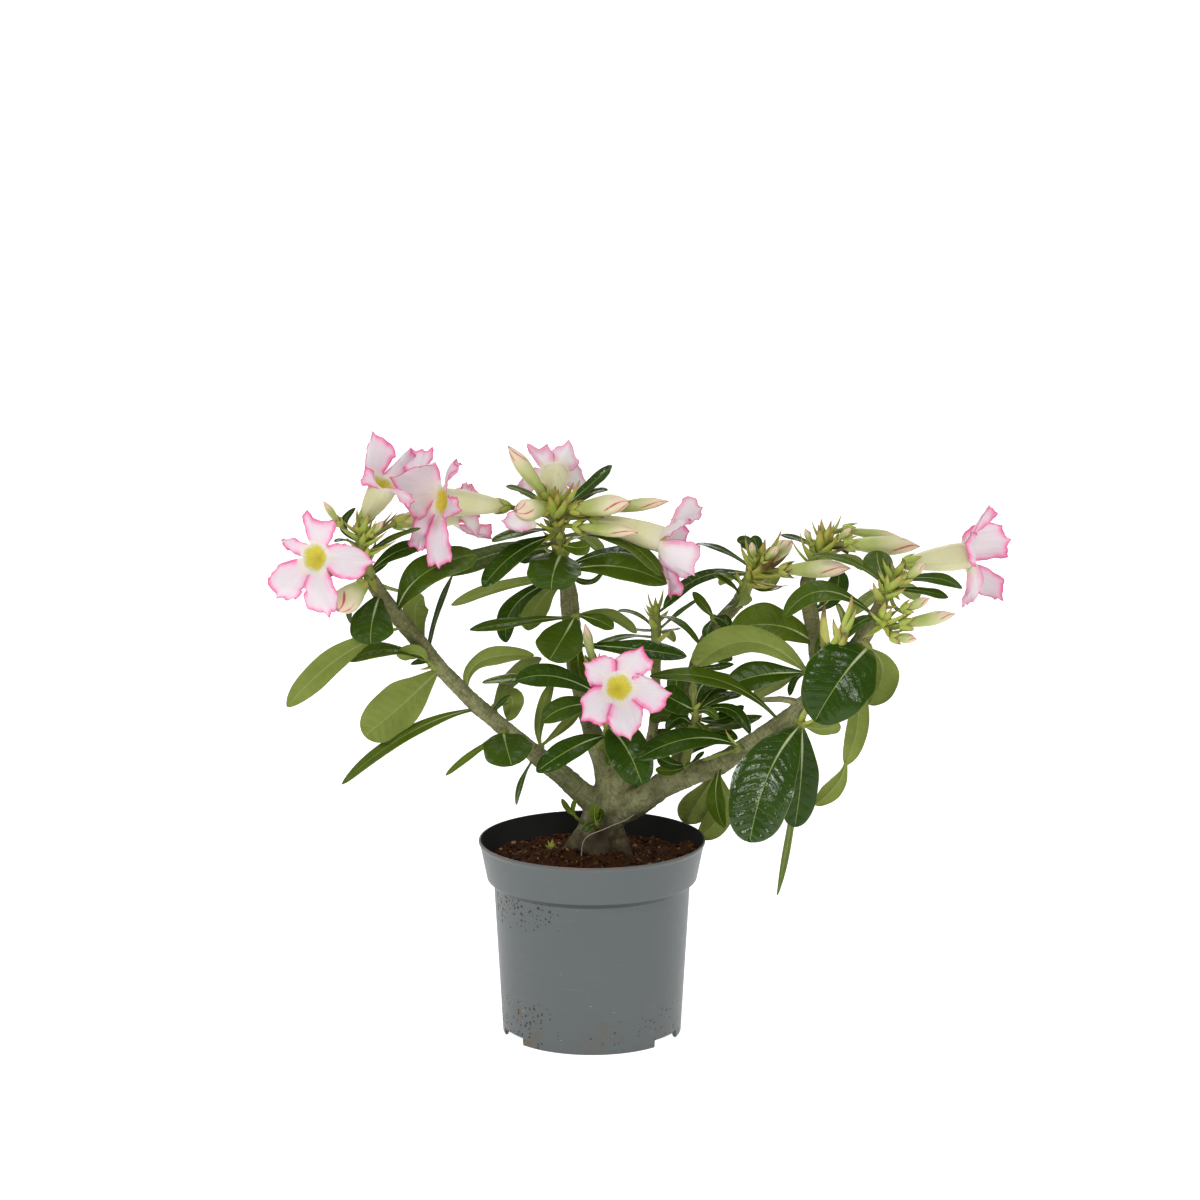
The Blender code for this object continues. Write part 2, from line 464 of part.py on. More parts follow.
# Buds: spray, where the stalk leaves it, foot, tip and greatest radius
BUDS = {
    "left_open": ("left_shoot", (-147, 311, -8), (-150.5, 300, -17), (-163, 288, -40), 8.3),
    "middle_tall": ("middle_shoot", (-25, 353, 16), (-31, 362, 12), (-54.5, 394.5, 4), 5.2),
    "middle_open": ("middle_shoot", (-26, 348, 14), (-31, 353, 7), (-50, 351.5, -13), 7.6),
    "middle_fat": ("middle_shoot", (-22, 350, 14), (-11, 352.5, 7), (25, 357.5, -8), 6.4),
    "middle_slim": ("middle_shoot", (-22, 348, 19), (6, 352.5, 15), (50, 358, 10), 4.4),
    "middle_low": ("middle_shoot", (-21, 342, 13), (-9, 341, 2), (30, 337, -16), 4.6),
    "front_tall": ("front_shoot", (13.5, 221, -2), (0.5, 250, -1), (-4.5, 276.5, -5), 3.3),
    "back_fat": ("back_shoot", (108, 310, 37), (126, 312.5, 19), (169, 313.5, -2), 6.0),
    "back_pale": ("back_shoot", (110, 316, 40), (115, 320, 43), (131, 331.5, 48), 5.8),
    "upper_arched": ("upper_shoot", (153, 334, 28), (166, 338.5, 33), (201.5, 334, 30), 3.5),
    "upper_fat": ("upper_shoot", (150, 326, 28), (167, 329.5, 19), (214, 328, 16), 6.4),
    "right_slim": ("right_low_tuft", (195, 275, -22), (204, 276, -26), (238, 283, -33), 4.5),
}

# Small green buds that stay joined to their spray: stalk start, foot, tip and radius
SMALL_BUDS = {
    "right_shoot": [
        ((195, 300, -17), (205, 286, -26), (221, 293.5, -31), 3.3),
        ((197, 304, -15), (204, 306, -20), (218, 316.5, -24), 3.3),
    ],
    "right_low_tuft": [((195, 275, -22), (198, 267.5, -27), (213, 266, -33), 3.4)],
}

# Plain colour and roughness of each material
MATERIALS = {
    "pot_plastic": ((0.10, 0.115, 0.12), 0.45),
    "peat": ((0.035, 0.015, 0.009), 0.95),
    "bark": ((0.17, 0.16, 0.09), 0.8),
    "leaf": ((0.035, 0.085, 0.015), 0.35),
    "petal": ((0.85, 0.55, 0.62), 0.5),
    "bud": ((0.62, 0.66, 0.30), 0.5),
}


def material(name):
    """Returns the named plain material, made once."""
    made = bpy.data.materials.get(name)
    if made is None:
        colour, roughness = MATERIALS[name]
        made = bpy.data.materials.new(name)
        made.use_nodes = True
        shader = made.node_tree.nodes["Principled BSDF"]
        shader.inputs["Base Color"].default_value = (*colour, 1.0)
        shader.inputs["Roughness"].default_value = roughness
        shader.inputs["Metallic"].default_value = 0.0
        made.diffuse_color = (*colour, 1.0)
    return made


def seen(x, z, y):
    """The place at depth y that the front view shows at x and z, in millimetres.

    High up, the middle of the plant leans back and its two sides lean forward.
    """
    rise = max(0.0, min(1.0, (z - LEAN_FROM) / LEAN_OVER))
    y += LEAN * rise * rise * (3 - 2 * rise) * math.cos(math.pi * (x - LEAN_MIDDLE) / LEAN_WIDTH)
    return EYE + (Vector((x, 0.0, z)) - EYE) * (1.0 - y / EYE.y)


def bent(foot, middle, tip, t):
    """A point and its direction on the curve from foot to tip that passes middle half way."""
    pull = 2 * middle - (foot + tip) / 2
    point = foot * (1 - t) ** 2 + pull * 2 * t * (1 - t) + tip * t * t
    along = ((pull - foot) * (1 - t) + (tip - pull) * t).normalized()
    return point, along


def tube(points, radii, sides):
    """A closed round tube along points, with flat ends."""
    verts = []
    faces = []
    across = (points[1] - points[0]).orthogonal().normalized()
    for i, point in enumerate(points):
        along = (points[min(i + 1, len(points) - 1)] - points[max(i - 1, 0)]).normalized()
        across = (across - along * across.dot(along)).normalized()
        up = along.cross(across)
        for k in range(sides):
            a = math.tau * k / sides
            verts.append(point + (across * math.cos(a) + up * math.sin(a)) * radii[i])
    for i in range(len(points) - 1):
        for k in range(sides):
            a = i * sides + k
            b = i * sides + (k + 1) % sides
            faces.append((a, b, b + sides, a + sides))
    faces.append(tuple(reversed(range(sides))))
    faces.append(tuple(range(len(verts) - sides, len(verts))))
    return verts, faces


def limb(row, sides, grow=0.0):
    """A tube through a row of x, z, y and radius. It may be grown all round, ends too."""
    line = [seen(x, z, y) for x, z, y, _ in row]
    widths = [r + grow for *_, r in row]
    if grow:
        line[0] += (line[0] - line[1]).normalized() * grow
        line[-1] += (line[-1] - line[-2]).normalized() * grow
    return tube(line, widths, sides)


def spike(foot, tip, radius):
    """A slim three-sided solid that tapers to a point both ways, such as a bract."""
    middle = foot.lerp(tip, 0.4)
    along = (tip - foot).normalized()
    across = along.orthogonal().normalized()
    up = along.cross(across)
    verts = [foot, tip]
    for k in range(3):
        a = math.tau * k / 3
        verts.append(middle + (across * math.cos(a) + up * math.sin(a)) * radius)
    faces = []
    for k in range(3):
        faces.append((2 + (k + 1) % 3, 2 + k, 0))
        faces.append((2 + k, 2 + (k + 1) % 3, 1))
    return verts, faces


def thicken(verts, faces, thick):
    """A closed solid from an open sheet, both faces split into triangles alike."""
    normals = [Vector() for _ in verts]
    edges = {}
    for face in faces:
        a, b, c = (verts[i] for i in face)
        normal = (b - a).cross(c - a)
        for k in range(3):
            normals[face[k]] += normal
            edge = (face[k], face[(k + 1) % 3])
            if (edge[1], edge[0]) in edges:
                del edges[(edge[1], edge[0])]
            else:
                edges[edge] = True
    offsets = [n.normalized() * thick / 2 for n in normals]
    count = len(verts)
    solid = [v + o for v, o in zip(verts, offsets)] + [v - o for v, o in zip(verts, offsets)]
    made = list(faces)
    made += [(c + count, b + count, a + count) for a, b, c in faces]
    for a, b in edges:
        made.append((b, a, a + count))
        made.append((b, a + count, b + count))
    return solid, made


def strip_faces(rows):
    """Triangles between rows of point numbers. The last row may be a single point."""
    faces = []
    for low, high in zip(rows, rows[1:]):
        for k in range(len(low) - 1):
            if len(high) == 1:
                faces.append((low[k], low[k + 1], high[0]))
            else:
                faces.append((low[k], low[k + 1], high[k + 1]))
                faces.append((low[k], high[k + 1], high[k]))
    return faces


def leaf_width(t):
    """Share of a leaf's full width at t of its length: narrow foot, broad near a blunt tip."""
    a = 1.35
    b = a * (1 - LEAF_PEAK) / LEAF_PEAK
    return (t / LEAF_PEAK) ** a * ((1 - t) / (1 - LEAF_PEAK)) ** b


def blade(row, root):
    """A leaf: a folded blade on a short stalk that starts at root."""
    middle = seen(*row[1])
    tip = seen(*row[2])
    width = row[3]
    facing = Vector(row[4])
    if width > WIDE_LEAF:
        shares = (0.0, 0.2, 0.45, 0.7, 0.9)
    elif width < NARROW_LEAF:
        shares = (0.0, 0.45, 0.84)
    else:
        shares = (0.0, 0.3, 0.66, 0.9)
    verts = []
    rows = []
    for t in shares:
        point, along = bent(root, middle, tip, t)
        up = (facing - along * facing.dot(along)).normalized()
        side = along.cross(up)
        half = max(leaf_width(t) * width / 2, PETIOLE_R)
        lift = up * LEAF_FOLD * half
        spots = [point - side * half + lift, point, point + side * half + lift]
        if width < NARROW_LEAF:
            spots.pop(1)
        rows.append(range(len(verts), len(verts) + len(spots)))
        verts += spots
    rows.append([len(verts)])
    verts.append(tip)
    return thicken(verts, strip_faces(rows), LEAF_THICK)


def stalk(start, foot, along, lobed=False):
    """A flower stalk from start to foot. Its cup may end in five pointed green lobes."""
    bend = foot - along * min(9.0, (foot - start).length * 0.5)
    if not lobed:
        return tube([start, bend, foot], [1.8, 1.8, CUP_R], PETALS)
    waist = foot - along * CUP_LONG
    verts, faces = tube([start, bend, waist, foot], [1.8, 1.8, CUP_R - 0.4, CUP_R], PETALS)
    ring = 2 * PETALS
    for k in range(PETALS):
        a, b = ring + k, ring + (k + 1) % PETALS
        c, d = b + PETALS, a + PETALS
        faces.remove((a, b, c, d))
        out = ((verts[c] + verts[d]) / 2 - foot).normalized()
        top = len(verts)
        verts.append(foot + along * LOBE_LONG + out * (CUP_R + LOBE_LEAN))
        faces += [(a, b, top), (b, c, top), (c, d, top), (d, a, top)]
    return verts, faces


def bud(foot, tip, radius):
    """A closed bud: a spindle that is fattest past the middle and ends in a point."""
    shape = ((0.0, 0.42), (0.3, 0.82), (0.64, 1.0), (0.88, 0.52))
    points = [foot.lerp(tip, t) for t, _ in shape]
    radii = [max(radius * r, min(TUBE_FOOT_R, radius * 0.7)) if t == 0 else radius * r
             for t, r in shape]
    sides = BUD_SIDES
    verts, faces = tube(points, radii, sides)
    faces.pop()
    top = len(verts)
    verts.append(tip)
    faces += [(top - sides + k, top - sides + (k + 1) % sides, top) for k in range(sides)]
    return verts, faces


def petal_order(throat, axis, petals):
    """Directions across the flower, its petals in turn, and the turn that suits them best."""
    across = axis.orthogonal().normalized()
    up = axis.cross(across)
    found = []
    for x, z, y, width in petals:
        tip = seen(x, z, y)
        out = tip - throat
        found.append((math.atan2(out.dot(up), out.dot(across)), tip, width))
    found.sort(key=lambda petal: petal[0])
    east = 0.0
    north = 0.0
    for i, (a, _, _) in enumerate(found):
        east += math.cos(a - math.tau * i / PETALS)
        north += math.sin(a - math.tau * i / PETALS)
    return across, up, math.atan2(north, east), [(tip, width) for _, tip, width in found]


def bloom(foot, throat, petals):
    """A trumpet flower: a slim tube that widens into a throat with five pointed petals."""
    axis = (throat - foot).normalized()
    reach = (throat - foot).length
    across, up, turn, petals = petal_order(throat, axis, petals)
    ring = 2 * PETALS
    profile = ((0.0, TUBE_FOOT_R), (0.5, TUBE_MIDDLE_R), (1.0, THROAT_R))

    def outward(k):
        a = turn + math.tau * (k - 1) / ring
        return across * math.cos(a) + up * math.sin(a)

    verts = [foot.copy()]
    faces = []
    for share, radius in profile:
        verts += [foot + axis * reach * share + outward(k) * radius for k in range(ring)]
    faces += [(0, 1 + (k + 1) % ring, 1 + k) for k in range(ring)]
    for i in range(len(profile) - 1):
        base = 1 + i * ring
        low = [base + k for k in range(ring)] + [base]
        high = [n + ring for n in low]
        faces += strip_faces([low, high])
    rim = 1 + (len(profile) - 1) * ring
    for i, (tip, width) in enumerate(petals):
        middle = verts[rim + 2 * i + 1]
        left = rim + 2 * i
        right = rim + (2 * i + 2) % ring
        rows = [(left, rim + 2 * i + 1, right)]
        out = outward(2 * i + 1)
        side = (verts[right] - verts[left]).normalized()
        chord = (verts[right] - verts[left]).length / 2
        sag = THROAT_R - out.dot(verts[left] - throat)
        length = (tip - middle).length
        pull = middle + (out * FLARE + axis * (1 - FLARE)).normalized() * length * 0.42
        for t, share in PETAL_SHAPE:
            point = middle * (1 - t) ** 2 + pull * 2 * t * (1 - t) + tip * t * t
            along = ((pull - middle) * (1 - t) + (tip - pull) * t).normalized()
            across_t = (side - along * side.dot(along)).normalized()
            back = across_t.cross(along)
            if back.dot(out) < 0:
                back = -back
            half = chord * (1 - t) ** 2 + share * width / 2
            cup = back * sag * (1 - t) ** 2
            wave = back * (0.5 + PETAL_TWIST * t)
            rows.append(range(len(verts), len(verts) + 3))
            verts += [point - across_t * half - cup + wave, point.copy(),
                      point + across_t * half - cup - wave]
        rows.append([len(verts)])
        verts.append(tip)
        faces += strip_faces(rows)
    return thicken(verts, faces, PETAL_THICK)


def build(name, shell, finish):
    """Makes an object from millimetre points and faces, its outside out."""
    verts, faces = shell
    mesh = bpy.data.meshes.new(name)
    mesh.from_pydata([v * MM for v in verts], [], [tuple(f) for f in faces])
    made = bmesh.new()
    made.from_mesh(mesh)
    bmesh.ops.recalc_face_normals(made, faces=made.faces)
    if made.calc_volume(signed=True) < 0:
        bmesh.ops.reverse_faces(made, faces=made.faces)
    made.to_mesh(mesh)
    made.free()
    mesh.materials.append(material(finish))
    thing = bpy.data.objects.new(name, mesh)
    bpy.context.scene.collection.objects.link(thing)
    return thing


def apply_boolean(thing, others, operation):
    """Joins others to a thing, or cuts them from it, in one step."""
    group = bpy.data.collections.new("operands")
    bpy.context.scene.collection.children.link(group)
    for other in others:
        group.objects.link(other)
    step = thing.modifiers.new("join", "BOOLEAN")
    step.operand_type = "COLLECTION"
    step.collection = group
    step.operation = operation
    step.solver = "EXACT"
    graph = bpy.context.evaluated_depsgraph_get()
    mesh = bpy.data.meshes.new_from_object(thing.evaluated_get(graph))
    thing.modifiers.remove(step)
    thing.data = mesh
    bpy.data.collections.remove(group)


def sound(made):
    """True where every edge joins two faces."""
    return all(len(edge.link_faces) == 2 for edge in made.edges)


def tidy(thing):
    """Drops loose scraps and sealed hollows and leaves one closed body of triangles."""
    made = bmesh.new()
    for merge, method in CLEAN_STEPS:
        made.clear()
        made.from_mesh(thing.data)
        if merge:
            bmesh.ops.remove_doubles(made, verts=made.verts, dist=merge)
            bmesh.ops.dissolve_degenerate(made, dist=merge, edges=made.edges)
        bmesh.ops.triangulate(made, faces=made.faces, ngon_method=method)
        if sound(made):
            break
    bmesh.ops.delete(made, geom=loose(made), context="VERTS")
    made.to_mesh(thing.data)
    made.free()


def loose(made):
    """The points of every body but the largest."""
    left = set(made.verts)
    groups = []
    while left:
        pile = [left.pop()]
        found = list(pile)
        while pile:
            for edge in pile.pop().link_edges:
                for vert in edge.verts:
                    if vert in left:
                        left.remove(vert)
                        pile.append(vert)
                        found.append(vert)
        groups.append(found)
    groups.sort(key=len)
    return [vert for found in groups[:-1] for vert in found]


def fuse(name, shells, finish, cutter=None):
    """One solid from overlapping shells, seated against the cutter."""
    parts = [build(name + "_part", shell, finish) for shell in shells]
    thing = parts[0]
    thing.name = name
    if len(parts) > 1:
        apply_boolean(thing, parts[1:], "UNION")
    for part in parts[1:]:
        bpy.data.objects.remove(part)
    if cutter is not None:
        apply_boolean(thing, [cutter], "DIFFERENCE")
    tidy(thing)
    thing.data.name = name
    shade(thing)
    return thing


def shade(thing):
    """Shades round faces smooth and keeps edges crisp."""
    thing.data.shade_smooth()
    thing.data.set_sharp_from_angle(angle=math.radians(40))


def turned(profile, sides):
    """A closed solid turned round the upright axis from points r and z, axis to axis."""
    verts = []
    faces = []
    rings = []
    for r, z in profile:
        if r == 0:
            rings.append([len(verts)] * (sides + 1))
            verts.append(Vector((0.0, 0.0, z)))
        else:
            first = len(verts)
            for k in range(sides):
                a = math.tau * k / sides
                verts.append(Vector((r * math.cos(a), r * math.sin(a), z)))
            rings.append([first + k for k in range(sides)] + [first])
    for low, high in zip(rings, rings[1:]):
        for k in range(sides):
            face = [low[k], low[k + 1], high[k + 1], high[k]]
            faces.append(tuple(dict.fromkeys(face)))
    return verts, faces


def wedge(azimuth, angle, inner, outer, low, high):
    """A sector of a ring, used to cut a notch. Azimuth 0 is the front."""
    verts = []
    steps = NOTCH_STEPS
    for z in (low, high):
        for r in (inner, outer):
            for k in range(steps + 1):
                a = math.radians(azimuth - angle / 2 + angle * k / steps - 90)
                verts.append(Vector((r * math.cos(a), r * math.sin(a), z)))
    n = steps + 1
    faces = [tuple(range(n)) + tuple(reversed(range(n, 2 * n))),
             tuple(range(2 * n, 3 * n)) + tuple(reversed(range(3 * n, 4 * n)))]
    for k in range(steps):
        faces.append((k, k + 1, 2 * n + k + 1, 2 * n + k))
        faces.append((n + k, n + k + 1, 3 * n + k + 1, 3 * n + k))
    faces.append((0, n, 3 * n, 2 * n))
    faces.append((steps, n + steps, 3 * n + steps, 2 * n + steps))
    return verts, faces


def pot():
    """The nursery pot: a tapered wall with a broad rim band, a gutter and drains below."""
    profile = [
        (0, 0), (PAD_R, 0), (GUTTER_R[0], GUTTER_Z), (GUTTER_R[1], GUTTER_Z),
        (BASE_R - WALL, 0), (BASE_R, 0), (WALL_TOP_R, WALL_TOP_Z), (BAND_FOOT_R, BAND_FOOT_Z),
        (RIM_R, POT_HEIGHT - 1.0), (RIM_R - 0.5, POT_HEIGHT), (RIM_R - WALL, POT_HEIGHT),
        (BAND_FOOT_R - WALL, BAND_FOOT_Z + 0.5), (WALL_TOP_R - WALL, WALL_TOP_Z - 0.5),
        (BASE_R - WALL + 0.4, GUTTER_Z + WALL), (GUTTER_R[0] - 0.6, GUTTER_Z + WALL),
        (PAD_R - 0.6, WALL), (0, WALL),
    ]
    body = build("pot", turned(profile, POT_SIDES), "pot_plastic")
    cuts = [wedge(a, NOTCH_ANGLE, GUTTER_R[1] - 1.0, RIM_R, -3.0, NOTCH_HEIGHT)
            for a in NOTCH_AZIMUTHS]
    middle = sum(GUTTER_R) / 2
    for k in range(DRAINS):
        a = math.tau * (k + 0.5) / DRAINS
        x = middle * math.cos(a)
        y = middle * math.sin(a)
        cuts.append(tube([Vector((x, y, 0)), Vector((x, y, 12))], [DRAIN_R] * 2, 8))
    cutters = [build("pot_cut", cut, "pot_plastic") for cut in cuts]
    apply_boolean(body, cutters, "DIFFERENCE")
    for cutter in cutters:
        bpy.data.objects.remove(cutter)
    tidy(body)
    shade(body)


def soil_height(x, y):
    """Height of the uneven soil: it mounds up to the trunk and is lumpy all over."""
    mound = SOIL_MOUND * max(0.0, 1 - math.hypot(x, y) / BASE_R) ** 1.3
    spot = Vector((x / SOIL_LUMP_WIDE, y / SOIL_LUMP_WIDE, 3.1))
    return SOIL_WALL_Z + mound + noise.noise(spot) * SOIL_LUMP


def soil(cutter):
    """The peat that fills the pot, with a hole where the trunk stands."""
    floor_z = GUTTER_Z + WALL + GAP
    band_share = (SOIL_WALL_Z - BAND_FOOT_Z) / (POT_HEIGHT - BAND_FOOT_Z)
    top_r = BAND_FOOT_R + (RIM_R - BAND_FOOT_R) * band_share - WALL - 2 * GAP
    profile = [
        (0, WALL + GAP), (PAD_R - 1.0, WALL + GAP), (GUTTER_R[0] - 1.1, floor_z),
        (BASE_R - WALL, floor_z), (WALL_TOP_R - WALL - GAP, WALL_TOP_Z - 0.5),
        (top_r, SOIL_WALL_Z), (SOIL_RINGS[0], POT_HEIGHT), (SOIL_RINGS[1], POT_HEIGHT),
        (0, POT_HEIGHT),
    ]
    verts, faces = turned(profile, SOIL_SIDES)
    for vert in verts:
        if vert.z == POT_HEIGHT:
            vert.z = soil_height(vert.x, vert.y)
    body = build("soil", (verts, faces), "peat")
    apply_boolean(body, [cutter], "DIFFERENCE")
    tidy(body)
    shade(body)


def wood(name, grow=0.0):
    """Trunk, roots and limbs grown together as one piece."""
    shells = []
    for part, row in BRANCHES.items():
        sides = TRUNK_SIDES if part == "trunk" else LIMB_SIDES
        shells.append(limb(row, sides, grow))
    return fuse(name, shells, "bark")


def nearest(point, lines):
    """The point of some lines that lies nearest to a point."""
    best = None
    for line in lines:
        for a, b in zip(line, line[1:]):
            spot, share = geometry.intersect_point_line(point, a, b)
            spot = a.lerp(b, max(0.0, min(1.0, share)))
            if best is None or (spot - point).length < (best - point).length:
                best = spot
    return best


def centre_lines(rows):
    """The middle lines of stems or branches."""
    return [[seen(x, z, y) for x, z, y, _ in row] for row in rows]


def spray(name, seat):
    """A leafy shoot or tuft with its bracts and flower stalks, fused and seated on the bark."""
    parts = SPRAYS[name]
    lines = centre_lines(parts["stems"])
    shells = [limb(row, STEM_SIDES) for row in parts["stems"]]
    for row in parts["leaves"]:
        shells.append(blade(row, nearest(seen(*row[0]), lines)))
    for row in parts.get("ends", []):
        shells.append(blade(row, seen(*row[0])))
    for foot, tip, radius in parts["spikes"]:
        start = seen(*foot)
        root = nearest(start, lines)
        shells.append(spike(start.lerp(root, 0.5), seen(*tip), radius))
    for owner, start, foot, throat, _ in BLOOMS.values():
        if owner == name:
            along = (seen(*throat) - seen(*foot)).normalized()
            shells.append(stalk(nearest(seen(*start), lines), seen(*foot), along, True))
    for owner, start, foot, tip, _ in BUDS.values():
        if owner == name:
            along = (seen(*tip) - seen(*foot)).normalized()
            shells.append(stalk(nearest(seen(*start), lines), seen(*foot), along))
    for start, foot, tip, radius in SMALL_BUDS.get(name, []):
        along = (seen(*tip) - seen(*foot)).normalized()
        shells.append(stalk(nearest(seen(*start), lines), seen(*foot), along))
        shells.append(bud(seen(*foot) - along, seen(*tip), radius))
    return fuse(name, shells, "leaf", seat)


def lone_leaves(seat):
    """Leaves that grow singly from the bark, each a solid of its own."""
    lines = centre_lines(BRANCHES.values())
    for name, row in LONE_LEAVES.items():
        fuse(name, [blade(row, nearest(seen(*row[0]), lines))], "leaf", seat)


def flowers():
    """Every open flower and every large bud, each clear of the cup that holds it."""
    for name, (_, _, foot, throat, petals) in BLOOMS.items():
        start = seen(*foot)
        end = seen(*throat)
        start += (end - start).normalized() * (GAP + PETAL_THICK / 2)
        shade(build("bloom_" + name, bloom(start, end, petals), "petal"))
    for name, (_, _, foot, tip, radius) in BUDS.items():
        start = seen(*foot)
        end = seen(*tip)
        start += (end - start).normalized() * GAP
        shade(build("bud_" + name, bud(start, end, radius), "bud"))


def main():
    """Builds the whole potted plant."""
    for thing in list(bpy.data.objects):
        bpy.data.objects.remove(thing)
    pot()
    wood("trunk_and_branches")
    seat = wood("seat_shape", GAP)
    seat.hide_render = True
    seat.display_type = "WIRE"
    soil(seat)
    for name in SPRAYS:
        spray(name, seat)
    lone_leaves(seat)
    flowers()
    bpy.data.objects.remove(seat)


main()
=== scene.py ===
"""Looks of the desert rose: its bark, leaves, trumpet flowers, buds, peat and nursery pot in fine form.

Places on the plant are in millimetres as the front view shows them: x to the right and z up on the
upright plane through the pot's axis, then y, the depth behind that plane. seen() carries such a place
back along its line of sight from the eye. The tables follow those of the solids. The petals' corners,
many bracts and small buds, some small leaves and the fill of one fork are only here.
"""
import math
import random

import bmesh
import bpy
import numpy as np
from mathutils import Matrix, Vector, geometry, noise


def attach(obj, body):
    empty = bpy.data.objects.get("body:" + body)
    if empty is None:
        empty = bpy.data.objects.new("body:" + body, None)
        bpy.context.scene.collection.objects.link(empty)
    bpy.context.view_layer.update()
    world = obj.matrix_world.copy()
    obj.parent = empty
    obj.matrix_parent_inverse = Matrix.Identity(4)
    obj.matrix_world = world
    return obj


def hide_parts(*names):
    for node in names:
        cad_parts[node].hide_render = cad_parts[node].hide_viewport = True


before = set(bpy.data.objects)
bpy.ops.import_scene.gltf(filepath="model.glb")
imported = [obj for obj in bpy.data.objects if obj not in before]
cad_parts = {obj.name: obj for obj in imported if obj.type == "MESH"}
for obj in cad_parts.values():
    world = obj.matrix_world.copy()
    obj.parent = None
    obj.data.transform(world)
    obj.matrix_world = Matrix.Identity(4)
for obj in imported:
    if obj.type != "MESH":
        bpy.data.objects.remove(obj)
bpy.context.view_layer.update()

MM = 0.001

# The eye of the front view, and how far and where the plant leans back and forth
EYE = Vector((0.0, -2689.5, 848.5))
EYE_PITCH = 0.203943
LENS = 125.883
SENSOR = 36.0
SHIFT_X = 8.0 / 1200.0
FARTHEST = 100.0
LEAN = 18.0
LEAN_FROM = 165.0
LEAN_OVER = 130.0
LEAN_MIDDLE = -15.0
LEAN_WIDTH = 180.0

# Lamps as name, place, width and power, where they aim, and the glow of the surroundings
LAMPS = (("key", (-1.5, -2.0, 2.0), 0.9, 31.5), ("glint", (0.62, -2.25, 1.02), 0.42, 10.0),
         ("right", (1.9, 0.1, 1.2), 1.2, 6.6), ("left", (-1.9, 0.4, 1.3), 1.2, 3.2),
         ("top", (0.2, 0.3, 2.3), 1.2, 13.0), ("back", (0.0, 3.0, 1.6), 1.7, 22.0))
LAMP_AIM = Vector((0, 0, 0.22))
WORLD_GLOW = 0.26
FLOOR_GLOW = 0.9
FLOOR_HALF = 30.0

# Pot
POT_HEIGHT = 131.0
RIM_R = 75.0
BASE_R = 59.3
BAND_FOOT_R = 69.5
BAND_FOOT_Z = 105.0
WALL_TOP_R = 65.0
WALL_TOP_Z = 101.0
WALL = 1.5
PAD_R = 38.0
GUTTER_R = (44.0, 54.5)
GUTTER_Z = 5.5
POT_SIDES = 160
POT_ROUNDING = 0.7
POT_CRISP = 35.0
NOTCH_AZIMUTHS = (-63.0, 57.0, 177.0)
NOTCH_ANGLE = 26.0
NOTCH_HEIGHT = 5.1
NOTCH_STEPS = 14
DRAINS = 8
DRAIN_R = 4.0
DRAIN_SIDES = 24
DRAIN_CUT = 12.0

# Soil, and the places where it is banked up as x, y, height and spread
SOIL_WALL_Z = 116.0
SOIL_MOUND = 6.0
SOIL_LUMP = 2.4
SOIL_LUMP_WIDE = 9.0
SOIL_SIDES = 150
SOIL_RINGS = 60
SOIL_BANKS = ((62, 6, 11.0, 180.0), (-17, -7, 7.0, 90.0), (16, -11, 5.0, 80.0))
SOIL_TONE = 0.3
CRUMBS = 2200
BIG_CRUMB_EACH = 9
FIBRE_EACH = 13
PALE_CRUMB_EACH = 97

# A pale root thread as x, z, y and radius, and a seedling's foot, tip and what its leaves face
THREAD = [(-7, 119, -20, 0.26), (-6, 128, -20, 0.28), (-2, 133, -20, 0.28), (6, 136.5, -20, 0.28),
          (15, 140.5, -20, 0.27), (23, 144, -19, 0.22), (28, 147.5, -18, 0.14)]
SEEDLING = (((-27, 124, -20), (-29, 130, -20)), ((-27, 124, -20), (-26, 131, -22)),
            ((-27, 124, -20), (-24, 128, -23)), ((-28, 124, -20), (-31, 127, -23)))
SEEDLING_TOP = (-27, 150, -20)

# Bark: its skin's voxel and smoothing, and the heights between which it turns young and green
TRUNK_SIDES = 40
LIMB_SIDES = 24
BARK_VOXEL = 0.85
BARK_EASE = 0.6
BARK_EASES = 7
YOUNG_BARK = (195.0, 300.0)

# Leaves
LEAF_PEAK = 0.67
LEAF_FOLD = 0.22
LEAF_CURL = 0.12
LEAF_THICK = 0.5
LEAF_TWIST = 0.22
LEAF_TONES = 0.75
LEAF_STEP = 1.6
STALK_THICK = 1.3
PETIOLE_R = 1.1
VEIN_GAP = 6.5
BRACT_ROWS = 12
BRACT_COLUMNS = 7

# Edges that turn more sharply than this many degrees stay crisp
RIM_ANGLE = 62.0

# Flowers and buds. A shape gives radii at shares of the length.
PETALS = 5
PETAL_THICK = 0.34
PETAL_COLUMNS = 16
PETAL_ROWS = 24
FLARE = 0.66
THROAT_R = 8.6
THROAT_DEPTH = 4.5
TUBE_SHAPE = ((0.0, 2.6), (0.05, 3.2), (0.1, 4.3), (0.3, 6.2), (0.48, 7.4), (0.76, 8.7), (1.0, THROAT_R))
TUBE_ROWS = 30
THROAT_ROWS = 10
TUBE_CAP_SIDES = 24
TUBE_FOOT_R = 2.7
CUP_R = 3.9
LOBE_LONG = 7.5
BUD_LOBE_LONG = 6.0
LOBE_LEAN = 1.6
BUD_SHAPE = ((0.0, 0.42), (0.08, 0.56), (0.3, 0.84), (0.5, 0.97), (0.64, 1.0), (0.78, 0.8),
             (0.9, 0.45), (0.97, 0.16), (1.0, 0.05))
BUD_ROWS = 34
BUD_SIDES = 40
BUD_LOBES = 0.03
BUD_TURNS = 0.3
STEM_SIDES = 14
NO_EDGE = 20.0

# Which way a blade's upper face looks
FRONT = (0.0, -0.85, 0.5)
TILTED = (0.0, -0.5, 0.85)
LEVEL = (0.0, -0.2, 1.0)
BACK = (0.0, 0.2, 1.0)

